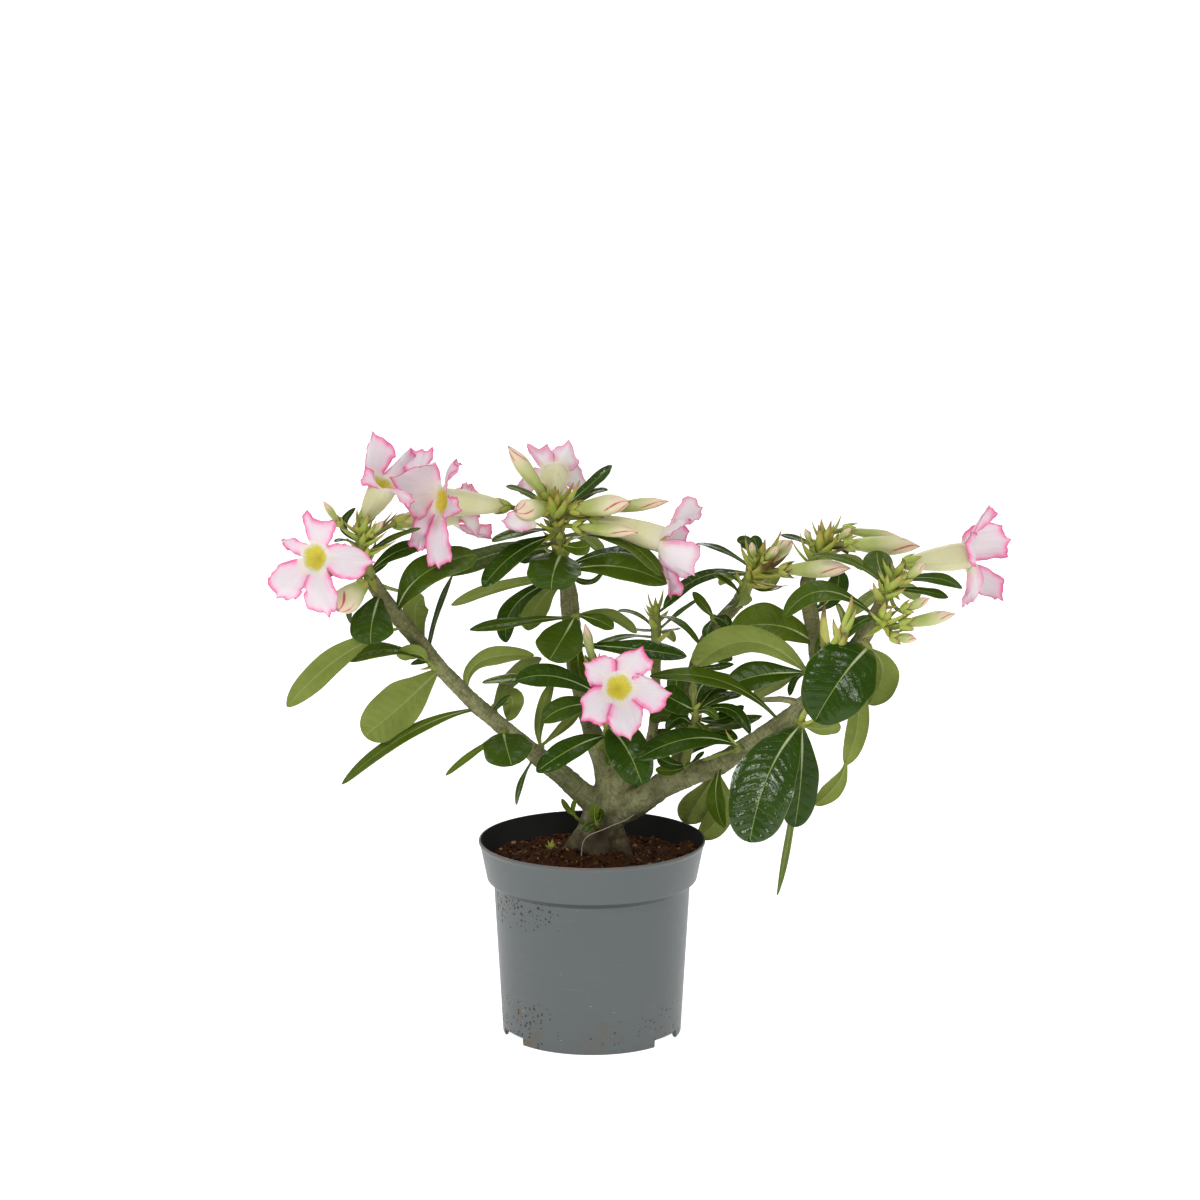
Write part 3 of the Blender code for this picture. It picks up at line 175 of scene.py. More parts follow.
# Woody branches: x, z, y and radius at each point
BRANCHES = {
    "trunk": [(3, 72, 12, 8), (3, 92, 12, 19), (3, 112, 12, 19), (3, 124, 12, 16.5),
              (6, 140, 12, 15), (9, 156, 12, 12.5), (10, 164, 12, 9)],
    "left_root": [(0, 140, 11, 8), (-8, 130, 8, 6.5), (-16, 121, 5, 5), (-22, 110, 3, 3)],
    "right_root": [(10, 142, 11, 9), (17, 130, 8, 7), (22, 119, 5, 5.5), (27, 108, 3, 3)],
    "front_root": [(5, 136, 6, 8), (6, 124, -1, 7), (6, 113, -7, 5), (6, 104, -10, 3)],
    "left_limb": [(8, 148, 12, 9), (-4, 160, 11, 8), (-18, 173, 8, 7.2), (-38, 189, 5, 6.3),
                  (-58, 206, 2, 5.7), (-75, 221, 0, 5.5), (-94.5, 241, -3, 5.2),
                  (-111, 261, -5, 5.2), (-127, 281, -6, 5.3), (-139, 297, -7, 5.0),
                  (-145, 307, -7, 4.6)],
    "middle_limb": [(9, 152, 12, 10), (10, 166, 13, 8.4), (8, 180, 14, 7.2), (4, 192, 15, 6.7),
                    (0, 205, 16, 6.3), (-5, 222, 17, 6.0), (-9, 240, 18, 6.0),
                    (-12, 260, 19, 6.2), (-14, 280, 20, 6.3), (-15, 295, 20, 6.2),
                    (-17, 305, 20, 5.6)],
    "right_limb": [(10, 148, 12, 11), (26, 154, 11, 9.8), (45, 166, 9, 8.5), (60, 173, 7, 7.9),
                   (80, 180, 4, 7.4), (92, 187, 2, 6.8), (105, 196, 0, 6.3), (118, 205, -3, 6.0),
                   (135, 217, -6, 6.2), (150, 233, -9, 5.6), (165, 252, -11, 5.3),
                   (178, 268, -13, 5.3), (186, 282, -14, 5.0), (190, 291, -15, 4.6)],
    "upper_limb": [(146, 228, -8, 5), (148, 242, 0, 4.8), (147, 258, 8, 5), (145, 274, 15, 5.2),
                   (142, 290, 21, 5.4), (141, 303, 25, 5.2), (143, 311, 27, 4.6)],
    "back_limb": [(54, 170, 9, 5), (57, 190, 16, 4.2), (60, 216, 23, 4.0), (66, 244, 29, 4.0),
                  (74, 264, 33, 4.3), (86, 280, 36, 4.6), (96, 291, 38, 4.8)],
    "thin_limb": [(30, 160, 12, 4.5), (36, 184, 22, 3.8), (41, 212, 28, 3.4), (42, 238, 32, 3.4)],
    "dry_twig": [(140, 222, -7, 2.4), (126, 225.5, -6, 2.2), (110, 225, -4, 1.7)],
    "crotch": [(9, 157, 11, 8), (19, 169, 11, 8.5), (25, 174, 10, 6.5), (30, 175, 10, 5)],
}

# Leafy sprays. Stems are like the branches. A leaf is its foot, middle, tip, width and the way its upper
# face looks, then for some a tone from dark 0 to fresh 1, then the share of its length where it is widest.
# A spike, which is a bract or tiny bud, is its foot, tip and radius, then for some how dry it is.
# A blade under "ends" carries on from a leaf's tip.
SPRAYS = {
    "left_shoot": {
        "stems": [[(-143, 303, -7, 3.4), (-146, 310, -7, 4.2), (-149, 320, -7, 4.2),
                   (-151, 331, -6, 3.6), (-151.5, 339, -5, 2.4)]],
        "leaves": [
            ((-152, 331, -4), (-162, 341, 0), (-154, 353.5, 4), 6, (-0.5, -0.7, 0.5)),
            ((-151, 326, -8), (-160, 332, -12), (-168, 331, -18), 5, LEVEL),
            ((-149, 322, -6), (-131, 333, -9), (-112, 340, -10), 9, LEVEL),
            ((-146, 310, -6), (-128, 324, -3), (-107, 329, 0), 13, (0.2, -0.5, 0.85)),
            ((-149, 316, -6), (-161, 321, 14), (-170, 308, 32), 15, LEVEL),
            ((-146, 309, -4), (-137, 301, 18), (-121, 297, 38), 15, LEVEL),
            ((-150, 303, -10), (-157, 294, -14), (-158.5, 277, -12), 6, (-0.6, -0.7, 0.3)),
            ((-148, 306, -8), (-139, 314, -2), (-131, 322, 2), 6, (-0.3, -0.6, 0.6)),
        ],
        "spikes": [
            ((-151, 333, -6), (-166, 343, -10), 2.6),
            ((-151, 336, -5), (-153, 353, -4), 2.2), ((-151, 333, -6), (-130, 351, -12), 2.6),
            ((-150, 330, -6), (-141, 345, -14), 2.4), ((-150, 328, -6), (-134, 338, -16), 3.0),
            ((-149, 324, -6), (-128, 332, -16), 3.2), ((-151, 334, -6), (-146, 350, -14), 3.0),
            ((-148, 322, -8), (-136, 327, -18), 2.8), ((-140, 334, -10), (-127, 350.5, -16), 2.8, 2.4),
            ((-153, 336, -6), (-163, 346, -8), 2.6),
            ((-150, 313, -7), (-158, 300, -8), 2.4), ((-146, 309, -9), (-141, 297, -21), 2.4),
        ],
    },
    "middle_shoot": {
        "stems": [[(-16, 300, 20, 4.4), (-17.5, 309, 20, 5.4), (-20, 320, 19, 5.0),
                   (-22, 333, 18, 5.2), (-24, 346, 17, 4.4), (-25, 356, 17, 2.6)]],
        "leaves": [
            ((-30, 337, 14), (-46, 337.5, 2), (-65, 331, -6), 13, LEVEL),
            ((-29, 333, 14), (-49, 324, -2), (-71, 301, -14), 18, (-0.3, -0.75, 0.6)),
            ((-29, 329, 20), (-63, 323, 10), (-97, 308, 0), 19, (-0.1, -0.6, 0.8)),
            ((-26, 325, 24), (-37, 322, 28), (-48, 318, 30), 11, TILTED),
            ((-21, 321, 14), (-25, 311, -10), (-26.5, 299.5, -16), 36, (0, -0.85, 0.5), 0.35, 0.52),
            ((-16, 334, 16), (16, 333.5, 2), (46, 308, -14), 17, (0.3, -0.45, 0.85)),
            ((-15, 311, 16), (17, 314.5, 8), (49, 303, -2), 20, (0.2, -0.8, 0.6)),
            ((-15, 315, 22), (8, 323, 24), (28, 322, 26), 12, TILTED),
            ((-18, 329, 12), (-10, 327, 2), (-2, 329, -4), 12, FRONT),
            ((-20, 350, 20), (-4, 366, 30), (13, 381.5, 34), 9.5, (-0.5, -0.7, 0.5)),
            ((-19, 346, 22), (-5, 361, 30), (10, 365, 30), 10, LEVEL),
            ((-27, 350, 20), (-42, 363, 30), (-56, 367.5, 34), 8, LEVEL),
            ((-22, 325, 24), (-31, 330, 44), (-40, 319, 60), 16, BACK),
            ((-19, 330, 24), (-6, 334, 44), (6, 323, 60), 16, BACK),
            ((-18, 318, 24), (-18, 317, 46), (-22, 303, 62), 15, (0, 0.3, 1)),
            ((-17, 307, 24), (-34, 292, 33), (-42, 272, 36), 19, (-0.2, 0.9, 0.2)),
            ((-18, 308, 22), (-49, 290, 20), (-56, 264, 16), 17, (-0.5, -0.6, 0.4)),
            ((-18, 307, 20), (-56, 302, 4), (-92, 289, -10), 16, (0, 0.75, 0.65), 0.8),
            ((-17, 311, 18), (-3, 304, 12), (8, 312, 10), 7, (-0.5, -0.2, 0.8)),
        ],
        "spikes": [
            ((-24, 352, 15), (-12, 370.5, 8), 4.2), ((-25, 352, 15), (-24, 368, 8), 3.4),
            ((-20, 348, 12), (-8, 372, 0), 3.6, 0.5), ((-22, 344, 10), (-16, 362, -6), 3.2, 0.7),
            ((-26, 346, 10), (-28, 363, -6), 3.4, 0.6), ((-23, 348, 12), (-22, 366, -2), 2.8, 0.9),
            ((-25, 345, 14), (-27.5, 359, 4), 2.4), ((-23, 345, 14), (-18, 359, 4), 2.4),
            ((-25, 338, 14), (-39, 345.5, 2), 2.4), ((-24, 340, 14), (-18, 348, -2), 2.2),
            ((-23, 350, 15), (-10, 359, 6), 2.2), ((-24, 338, 14), (-33, 330, 2), 2.2),
        ],
    },
    "right_shoot": {
        "stems": [[(188, 286, -15, 3.6), (191, 294, -15, 4.2), (195, 302, -15, 4.0),
                   (200, 311, -13, 2.6)]],
        "leaves": [
            ((191, 302, -11), (170, 317, -8), (144, 322, -4), 10, LEVEL, 0.55),
            ((193, 301, -12), (188, 313, -2), (186, 325, 10), 19, (0, -0.75, 0.5), 0.5),
            ((200, 301, -15), (222, 307, -18), (242, 300, -20), 10, (0, -0.6, 0.8)),
            ((195, 299, -16), (217, 298, -20), (233, 294, -22), 8, TILTED),
            ((195, 301, -14), (202, 302, 10), (212, 292, 32), 16, BACK),
            ((194, 299, -14), (184, 296, 12), (172, 282, 30), 16, BACK),
        ],
        "spikes": [
            ((195, 301, -16), (187, 312, -22), 1.8), ((193, 297, -17), (181, 300, -25), 2.0),
            ((196, 300, -17), (202, 292, -26), 2.6),
            ((197, 305, -15), (190, 320, -16), 2.6), ((196, 303, -12), (206, 312, 0), 2.8),
            ((194, 296, -16), (203, 310, -28), 3.6), ((193, 292, -16), (205, 300, -28), 3.2),
            ((192, 290, -16), (184, 304, -28), 3.2), ((190, 288, -16), (200, 288, -28), 2.8),
        ],
    },
    "right_low_tuft": {
        "stems": [[(184, 278, -14, 3.2), (190, 277, -19, 3.2), (196, 274, -23, 2.4)]],
        "spikes": [
            ((192, 277, -20), (177, 267, -28), 2.4), ((192, 277, -20), (196, 287, -30), 2.6),
            ((191, 277, -20), (182, 285, -27), 2.8), ((192, 277, -21), (206, 284, -32), 3.4),
            ((190, 276, -20), (199, 268, -30), 2.8), ((188, 277, -19), (192, 291, -30), 3.2),
        ],
    },
    "upper_shoot": {
        "stems": [[(142, 306, 26, 3.4), (144, 313, 27, 4.0), (148, 321, 28, 3.8),
                   (151, 329, 28, 3.0), (153, 335, 28, 2.0)]],
        "leaves": [
            ((148, 325, 30), (137, 332, 36), (123, 335.5, 40), 7, LEVEL),
            ((150, 323, 28), (160, 328, 24), (167, 323, 20), 7, (0.2, -0.6, 0.8)),
            ((146, 316, 30), (150, 322, 48), (146, 308, 66), 15, BACK),
            ((148, 318, 30), (164, 322, 42), (176, 312, 52), 14, BACK),
        ],
        "spikes": [
            ((150, 330, 27), (143.5, 345, 24), 1.8), ((151, 331, 27), (149.5, 346.5, 22), 2.6),
            ((152, 330, 27), (162.5, 349, 22), 2.0),
            ((152, 331, 28), (167.5, 338.5, 20), 2.4),
            ((145, 317, 26), (142.5, 338, 22), 2.8), ((144, 316, 26), (136, 337, 24), 2.4),
            ((150, 322, 26), (149, 341, 16), 3.4), ((151, 326, 26), (156, 345, 16), 3.0),
            ((150, 320, 26), (160, 334, 12), 3.2), ((148, 318, 26), (138, 330, 14), 2.8),
            ((150, 322, 26), (168, 329, 12), 3.0, 2.2), ((149, 318, 26), (160, 322, 12), 2.6),
            ((144, 315, 26), (130, 333, 24), 2.0), ((152, 332, 30), (158, 343, 40), 2.0),
        ],
    },
    "back_shoot": {
        "stems": [[(93, 288, 38, 3.6), (98, 295, 38, 4.6), (102, 304, 38, 4.6),
                   (107, 312, 38, 4.0), (111, 318, 38, 2.6)]],
        "leaves": [
            ((98, 314, 38), (72, 307.5, 30), (47, 287, 20), 11, (-0.3, -0.6, 0.7)),
            ((102, 316, 40), (84, 326, 44), (68, 329.5, 46), 8, LEVEL),
            ((99, 300, 36), (91, 308, 32), (80, 310.5, 28), 8, LEVEL),
            ((96, 293, 36), (92, 302, 30), (79, 309, 24), 5, TILTED),
            ((94, 289, 36), (95, 288, 28), (97, 294, 14), 21, (0, -0.75, 0.6)),
            ((104, 300, 34), (114, 299, 26), (124, 301, 20), 9, LEVEL),
            ((106, 318, 42), (102, 329, 46), (95, 331, 46), 9, (-0.3, -0.7, 0.6)),
            ((107, 316, 42), (108, 327, 48), (104, 334, 52), 9, FRONT),
            ((104, 306, 42), (96, 310, 58), (84, 302, 72), 15, BACK),
            ((106, 308, 42), (114, 312, 60), (116, 300, 78), 15, BACK),
        ],
        "spikes": [
            ((106, 313, 36), (100, 336.5, 34), 2.4), ((110, 316, 36), (123.5, 339, 30), 2.8),
            ((108, 312, 36), (122.5, 323.5, 20), 2.8),
            ((107, 310, 36), (121, 309, 20), 3.2), ((105, 306, 36), (113, 318, 22), 3.0),
            ((106, 304, 36), (128, 302, 24), 2.2), ((110, 313, 37), (135, 307, 28), 1.8),
            ((109, 308, 30), (128, 323, 12), 3.4, 2.6), ((109, 306, 30), (119, 320, 12), 3.0, 2.4),
            ((108, 304, 30), (131, 313, 10), 2.8, 1.2), ((104, 312, 34), (97, 329, 22), 3.2),
            ((106, 314, 34), (113, 333, 24), 3.4), ((105, 300, 32), (121, 302, 14), 3.0, 0.9),
        ],
    },
    "thin_shoot": {
        "stems": [[(42, 234, 31, 2.6), (42, 244, 32, 3.4), (42, 262, 34, 3.4),
                   (42, 278, 34, 3.4), (42, 287, 34, 2.0)]],
        "leaves": [
            ((40, 272, 34), (30, 282.5, 32), (17, 285, 30), 6, LEVEL),
            ((44, 281, 34), (57, 277.5, 28), (70, 263, 22), 7, LEVEL),
            ((44, 271, 35), (56, 283, 38), (69, 292.5, 42), 6, LEVEL),
            ((44, 270, 34), (51, 272, 30), (58, 273, 28), 5, LEVEL),
            ((40, 272, 33), (33, 272, 30), (25, 273, 28), 5, LEVEL),
            ((41, 267, 34), (20, 267.5, 30), (1, 260, 26), 8, LEVEL),
            ((44, 283, 34), (49, 288, 30), (54, 291, 26), 5, TILTED),
            ((42, 268, 36), (47, 272, 50), (54, 264, 64), 9, BACK),
        ],
        "spikes": [
            ((41, 283, 34), (36.5, 297.5, 32), 1.9), ((42, 284, 34), (41.5, 294, 28), 1.7),
            ((43, 283, 34), (46.5, 300, 32), 1.9), ((41, 278, 34), (34, 287.5, 30), 1.7),
            ((42, 280, 34), (44, 291, 42), 1.7),
        ],
    },
    "front_shoot": {
        "stems": [[(4, 192, 12, 3.0), (9, 200, 0, 3.0), (12, 212, -3, 2.8), (14, 222, -3, 2.4)]],
        "leaves": [
            ((10, 224, -3), (-20, 240, -17), (-50, 238, -24), 16, FRONT, 0.2),
            ((10, 222, -4), (-14, 221, -14), (-33, 210, -20), 15, FRONT),
            ((12, 206, -4), (23, 192, -20), (33, 168, -26), 29, (-0.1, -0.9, 0.4), 0.14, 0.6),
            ((9, 200, -2), (-11, 193.5, -16), (-36.5, 176.5, -22), 17, (0, -0.8, 0.6), 0.14),
            ((9, 199, 0), (12, 190, -5), (10, 181, -7), 7, FRONT),
        ],
        "spikes": [((12, 214, -3), (8, 206, -10), 1.8)],
    },
    "inner_shoot": {
        "stems": [[(60, 174, 5, 3.0), (64, 195, 0, 3.0), (68, 214, -2, 2.6),
                   (67, 223, -4, 2.2), (65.5, 236.5, -7, 0.7)]],
        "leaves": [
            ((67, 218, -3), (58, 223, -12), (45, 230, -20), 19, FRONT, 0.15),
            ((68, 217, -2), (76, 218, -4), (83, 212, -6), 6, FRONT),
            ((68, 217, 0), (83, 226, 3), (98, 228, 4), 9, TILTED),
            ((67, 212, -2), (73, 206, -6), (80, 198, -8), 6, FRONT),
            ((68, 216, 0), (90, 219, 4), (104, 202, 2), 9, (0.2, -0.7, 0.6)),
            ((66, 207, -1), (58, 213, -7), (49, 205, -12), 9, FRONT),
            ((61, 181, 3), (52, 182, -8), (43, 187, -14), 9, FRONT),
            ((61, 179, 3), (52, 177, -10), (42, 178, -15), 7, FRONT),
            ((61, 179, 2), (67, 184, -7), (74, 190, -10), 5, TILTED),
            ((68, 214, 2), (84, 212, 10), (100, 221, 14), 12, (-0.2, -0.6, 0.7)),
            ((67, 219, 3), (74, 236, 12), (92, 234, 18), 15, (0, -0.5, 0.8)),
            ((67, 216, 3), (56, 232, 12), (60, 244, 18), 13, (-0.3, -0.8, 0.4)),
            ((68, 214, 6), (80, 232, 22), (100, 238, 28), 13, (0.1, -0.6, 0.7), 0.4),
            ((68, 208, 6), (88, 208, 22), (112, 214, 26), 11, (0.1, -0.5, 0.8), 0.6),
            ((66, 200, 5), (54, 199, 20), (40, 203, 28), 12, (0, -0.7, 0.6), 0.5),
            ((62, 188, 4), (74, 196, 18), (92, 204, 26), 9, (0, -0.7, 0.6), 0.3),
            ((65, 204, 3), (52, 214, 14), (38, 212, 20), 14, (0, -0.6, 0.7)),
            ((64, 200, 3), (78, 204, 14), (96, 199, 20), 12, (0.1, -0.6, 0.7)),
        ],
        "spikes": [((66, 210, -3), (61, 203, -9), 1.6)],
    },
    "left_tuft": {
        "stems": [[(-99, 246, -4, 3.0), (-104, 248, -7, 3.0), (-108, 251, -9, 1.4)]],
        "leaves": [
            ((-107, 251, -9), (-134, 259, -14), (-159, 251, -20), 15, (0, -0.45, 0.9), 0.7),
            ((-108, 251, -9), (-115, 256.5, -12), (-128, 255, -12), 15, (0.1, 0.8, 0.55), 0.9),
            ((-100, 246, -5), (-124, 223, -14), (-150, 201, -20), 33, (0.2, 0.85, 0.45), 0.9),
            ((-110, 262, -2), (-103, 278, 2), (-91, 309, 6), 8, (-0.8, -0.4, 0.4), 0.2),
            ((-118, 271, 0), (-116, 281, 8), (-110, 294, 12), 17, (0.1, 0.9, 0.0), 0.9, 0.66),
            ((-107, 250, -6), (-110, 251.5, -10), (-119, 249, -12), 4, FRONT),
        ],
        "spikes": [((-104, 247, -8), (-113, 246, -14), 1.6)],
    },
    "middle_tuft": {
        "stems": [[(-13, 279, 17, 3.0), (-11, 281, 11, 3.0), (-9, 282, 8, 2.0)]],
        "leaves": [
            ((-13, 280, 10), (-19, 267, -8), (-28, 252, -20), 30, (-0.1, -0.85, 0.5)),
            ((-14, 281, 12), (-45, 278, 4), (-80, 272, -6), 11, (0, -0.4, 0.9), 0.5),
            ((-9, 282, 9), (3, 279, 4), (14, 273, 0), 11, (0, -0.7, 0.7)),
            ((-9, 285, 12), (10, 283, 16), (29, 270, 20), 14, (0.2, 0.6, 0.7)),
        ],
    },
    "right_tuft": {
        "stems": [[(134, 213, -8, 3.4), (138, 209, -14, 3.4), (140, 208, -17, 2.2)]],
        "leaves": [
            ((136, 207, -16), (117, 176, -40), (104.5, 128.5, -52), 42, (-0.05, -0.9, 0.36), 0.0),
            ((139, 205, -13), (138, 174, -20), (134, 139, -22), 26, (0.3, -0.9, 0.2), 0.12),
            ((140, 208, -14), (150, 206, -20), (163, 209, -25), 18, (0, 0.8, 0.6), 0.9),
            ((137, 205, -12), (133, 152, -14), (123, 92, -14), 8, (0.75, -0.65, 0), 0.9),
        ],
        "spikes": [((138, 212, -14), (141, 222, -19), 2.4), ((138, 211, -15), (148, 214, -24), 2.2)],
    },
    "tip_tuft": {
        "stems": [[(177, 266, -15, 2.6), (181, 261, -18, 2.8), (183, 259, -19, 1.8)]],
        "leaves": [
            ((182, 261, -20), (164, 240, -34), (147, 211, -38), 46, (-0.15, -0.9, 0.4), 0.1, 0.56),
            ((183, 260, -16), (191, 244, -14), (182, 222, -14), 22, (0.1, 0.9, -0.25), 0.9),
        ],
    },
    "pod_tuft": {
        "stems": [[(157, 246, -11, 3.0), (154, 256, -16, 3.0), (152, 270, -18, 2.6),
                   (152, 286, -18, 1.2)],
                  [(158, 248, -12, 3.2), (163, 262, -18, 3.6), (166, 276, -19, 3.0),
                   (161, 289, -18, 1.6)]],
        "leaves": [
            ((162, 260, -17), (170, 273, -20), (184, 281, -21), 8, FRONT),
            ((163, 261, -18), (175.5, 221, -25), (167, 181, -22), 15, (0.3, 0.9, -0.1), 0.9),
        ],
        "ends": [((167.5, 184, -22), (162, 168, -20), (147, 154, -17), 12, (0.5, 0.8, 0.3))],
        "spikes": [((163, 262, -18), (158, 280, -24), 3.0), ((164, 268, -18), (173, 287, -26), 3.0),
                   ((154, 258, -17), (152.5, 292, -22), 3.8, 1.5), ((156, 254, -16), (163, 276, -24),
                                                                    3.2, 0.6),
                   ((166, 268, -20), (170, 296, -24), 4.2, 0.3), ((160, 256, -17), (166, 271, -25), 2.6,
                                                                  1.1)],
    },
    "long_tuft": {
        "stems": [[(94, 190, 0, 3.0), (96, 193, -7, 2.8), (96, 194, -9, 2.0)]],
        "leaves": [
            ((95, 194, -9), (65, 199, -22), (30, 185, -28), 18, (0, -0.75, 0.65)),
            ((94, 191, -7), (85, 188, -12), (73, 184, -14), 9, (0, 0.5, 0.85)),
        ],
        "spikes": [((96, 194, -8), (88, 205, -12), 2.0)],
    },
    "back_tuft": {
        "stems": [[(65, 243, 28, 3.0), (67, 246, 22, 2.8), (68, 246, 20, 1.8)]],
        "leaves": [
            ((67, 246, 22), (80, 247, 17), (93, 249, 13), 7, TILTED),
            ((67, 244, 22), (80, 241, 16), (93, 238, 10), 11, TILTED),
            ((68, 247, 23), (80, 254, 20), (92, 252, 18), 9, FRONT),
        ],
    },
    "bend_tuft": {
        "stems": [[(83, 277, 35, 3.0), (80, 280, 31, 2.8), (78, 281, 29, 1.6)]],
        "leaves": [
            ((79, 280, 31), (74, 288, 34), (66, 297.5, 38), 7, (-0.6, -0.5, 0.5)),
            ((80, 279, 30), (85, 279, 25), (91, 273, 23), 9, FRONT),
            ((79, 279, 31), (76, 273, 28), (76, 266, 26), 7, FRONT),
        ],
    },
    "grey_tuft": {
        "stems": [[(-66, 214, 2, 3.0), (-65, 218, 8, 2.9), (-64, 221, 11, 2.2)]],
        "leaves": [
            ((-64, 220, 9), (-53, 227, 9), (-55, 211, 7), 15, (0.2, 0.9, -0.2), 0.9),
            ((-64, 220, 9), (-54, 238, 20), (-33, 253, 28), 15, (-0.3, 0.8, 0.3)),
            ((-66, 219, 4), (-61, 222, 0), (-54, 228, -4), 5, (-0.4, -0.6, 0.6)),
        ],
    },
    "upright_tuft": {
        "stems": [[(-37, 189, 6, 3.0), (-34, 193, 11, 2.8), (-33, 195, 12, 1.8)]],
        "leaves": [
            ((-34, 194, 11), (-34, 213, 12), (-25, 238, 13), 11, (-0.6, 0.7, 0.2)),
            ((-33, 194, 11), (-22, 204, 13), (-8, 217, 9), 9, (-0.5, 0.7, 0.4)),
        ],
    },
    "dry_tuft": {
        "stems": [[(-57, 204, 0, 3.0), (-58, 202, -5, 2.8), (-58, 202, -7, 1.8)]],
        "leaves": [
            ((-58, 202, -6), (-57, 196, -24), (-53, 180.5, -34), 33, (0, -0.75, 0.66), 0.35),
            ((-59, 202, -5), (-77, 190, -7), (-96.5, 174, -8), 6, TILTED, 1.0),
        ],
    },
    "limb_tuft": {
        "stems": [[(-10, 259, 17, 3.0), (-9, 261, 11, 2.8), (-8, 262, 9, 1.8)]],
        "leaves": [
            ((-10, 262, 10), (-9, 250, 3), (-6, 235, 2), 12, FRONT),
            ((-7, 262, 10), (28, 259.5, 7), (62, 254, 0), 15, (0, -0.7, 0.7), 0.05),
        ],
    },
    "bright_tuft": {
        "stems": [[(147, 243, -1, 3.0), (143, 243, -3, 2.8), (140, 243, -4, 1.8)]],
        "leaves": [
            ((142, 244, -3), (104, 265, -12), (68, 248, -10), 31, (0, 0.75, 0.65), 0.9),
            ((142, 243, -3), (112, 242, 0), (89, 234, -2), 21, (0, -0.75, 0.6), 0.3),
            ((146, 262, 8), (151, 264, 4), (145, 246, -2), 9, (0.5, -0.8, 0.2)),
            ((138, 244, -2), (133, 238, 2), (130, 228, 4), 5, (-0.4, -0.8, 0.3)),
            ((139, 242, 0), (124, 239, 8), (106, 226, 12), 12, (0.2, 0.8, 0.5)),
        ],
    },
    "rim_tuft": {
        "stems": [[(84, 180, 6, 3.0), (83, 177, 11, 2.8), (82, 175, 13, 1.8)]],
        "leaves": [
            ((82, 176, 12), (70, 156, 26), (62, 141, 36), 20, (-0.1, 0.9, -0.3)),
            ((84, 176, 12), (86, 150, 18), (70, 132, 26), 18, (0.1, 0.9, -0.3)),
        ],
    },
    "left_sprout": {
        "stems": [[(-4, 141, 6, 1.5), (-9, 144, 0, 1.2), (-12, 147.5, -2, 0.9)]],
        "leaves": [
            ((-12, 147, -2), (-16, 151, -4), (-20, 158, -5), 4.5, (0.5, -0.8, 0.4), 0.9),
            ((-12, 147, -1), (-12.5, 152, 1), (-10.5, 158, 2), 3.5, (-0.3, -0.8, 0.3), 0.9),
        ],
    },
    "front_sprout": {
        "stems": [[(4, 138, 1, 2.2), (3, 140, -8, 2.0), (3, 143, -10, 1.4)]],
        "leaves": [
            ((3, 141, -9), (1.5, 147, -13), (2.5, 155, -13), 7, FRONT, 0.9),
            ((3.5, 141, -9), (6, 146, -12), (5, 151, -15), 4, FRONT),
            ((3, 140.5, -9), (-1, 140, -13), (-5.5, 136, -15), 5, (0.2, -0.7, 0.6), 0.3),
        ],
    },
}

# Leaves that grow singly from the bark
LONE_LEAVES = {
    "leaf_under_flower": ((-141, 292, -12), (-144, 278, -27), (-145, 263, -34), 28, (0.05, -0.9, 0.35),
                          0.3),
    "leaf_long_pale": ((-127, 268.5, -9), (-163, 256, -28), (-200.5, 220.5, -34), 18, (0.3, 0.8, 0.5)),
    "leaf_olive": ((-124, 283, -11), (-112, 308, -15), (-76, 323, -8), 27, (-0.35, -0.65, 0.65)),
    "leaf_long_narrow": ((-77, 213, -4), (-118, 204, -12), (-165, 168, -20), 14, (0, -0.35, 0.9), 0.8),
    "leaf_hanging": ((-41, 182, 2), (-46, 171, -1), (-50, 154, -2), 7, (-0.9, -0.4, 0.2)),
    "leaf_arched": ((-79, 231, -2), (-74, 251, -3), (-38, 255, -6), 14, (-0.4, 0.8, 0.3)),
    "leaf_strip": ((-13, 237, 14), (-42, 240, 5), (-72, 236.5, -2), 13, LEVEL, 0.8),
    "leaf_grey_arch": ((184, 281, -16), (152, 298, -18), (126, 281, -22), 19, TILTED, 0.5),
    "leaf_olive_back": ((148, 262, 10), (122, 275, 6), (91, 272, 4), 33, (0, -0.6, 0.8), 0.75),
    "leaf_long_arch": ((121, 211, -8), (87, 237, -18), (38, 241, -21), 14, TILTED, 0.55),
    "leaf_shadow_side": ((88, 177, -4), (82, 160, -12), (88, 138, -14), 17, (-0.6, -0.5, 0.2), 0.5),
    "leaf_round_back": ((145, 284, 17), (158, 296, 18), (161, 312, 17), 15, (0.2, -0.85, 0.3)),
}

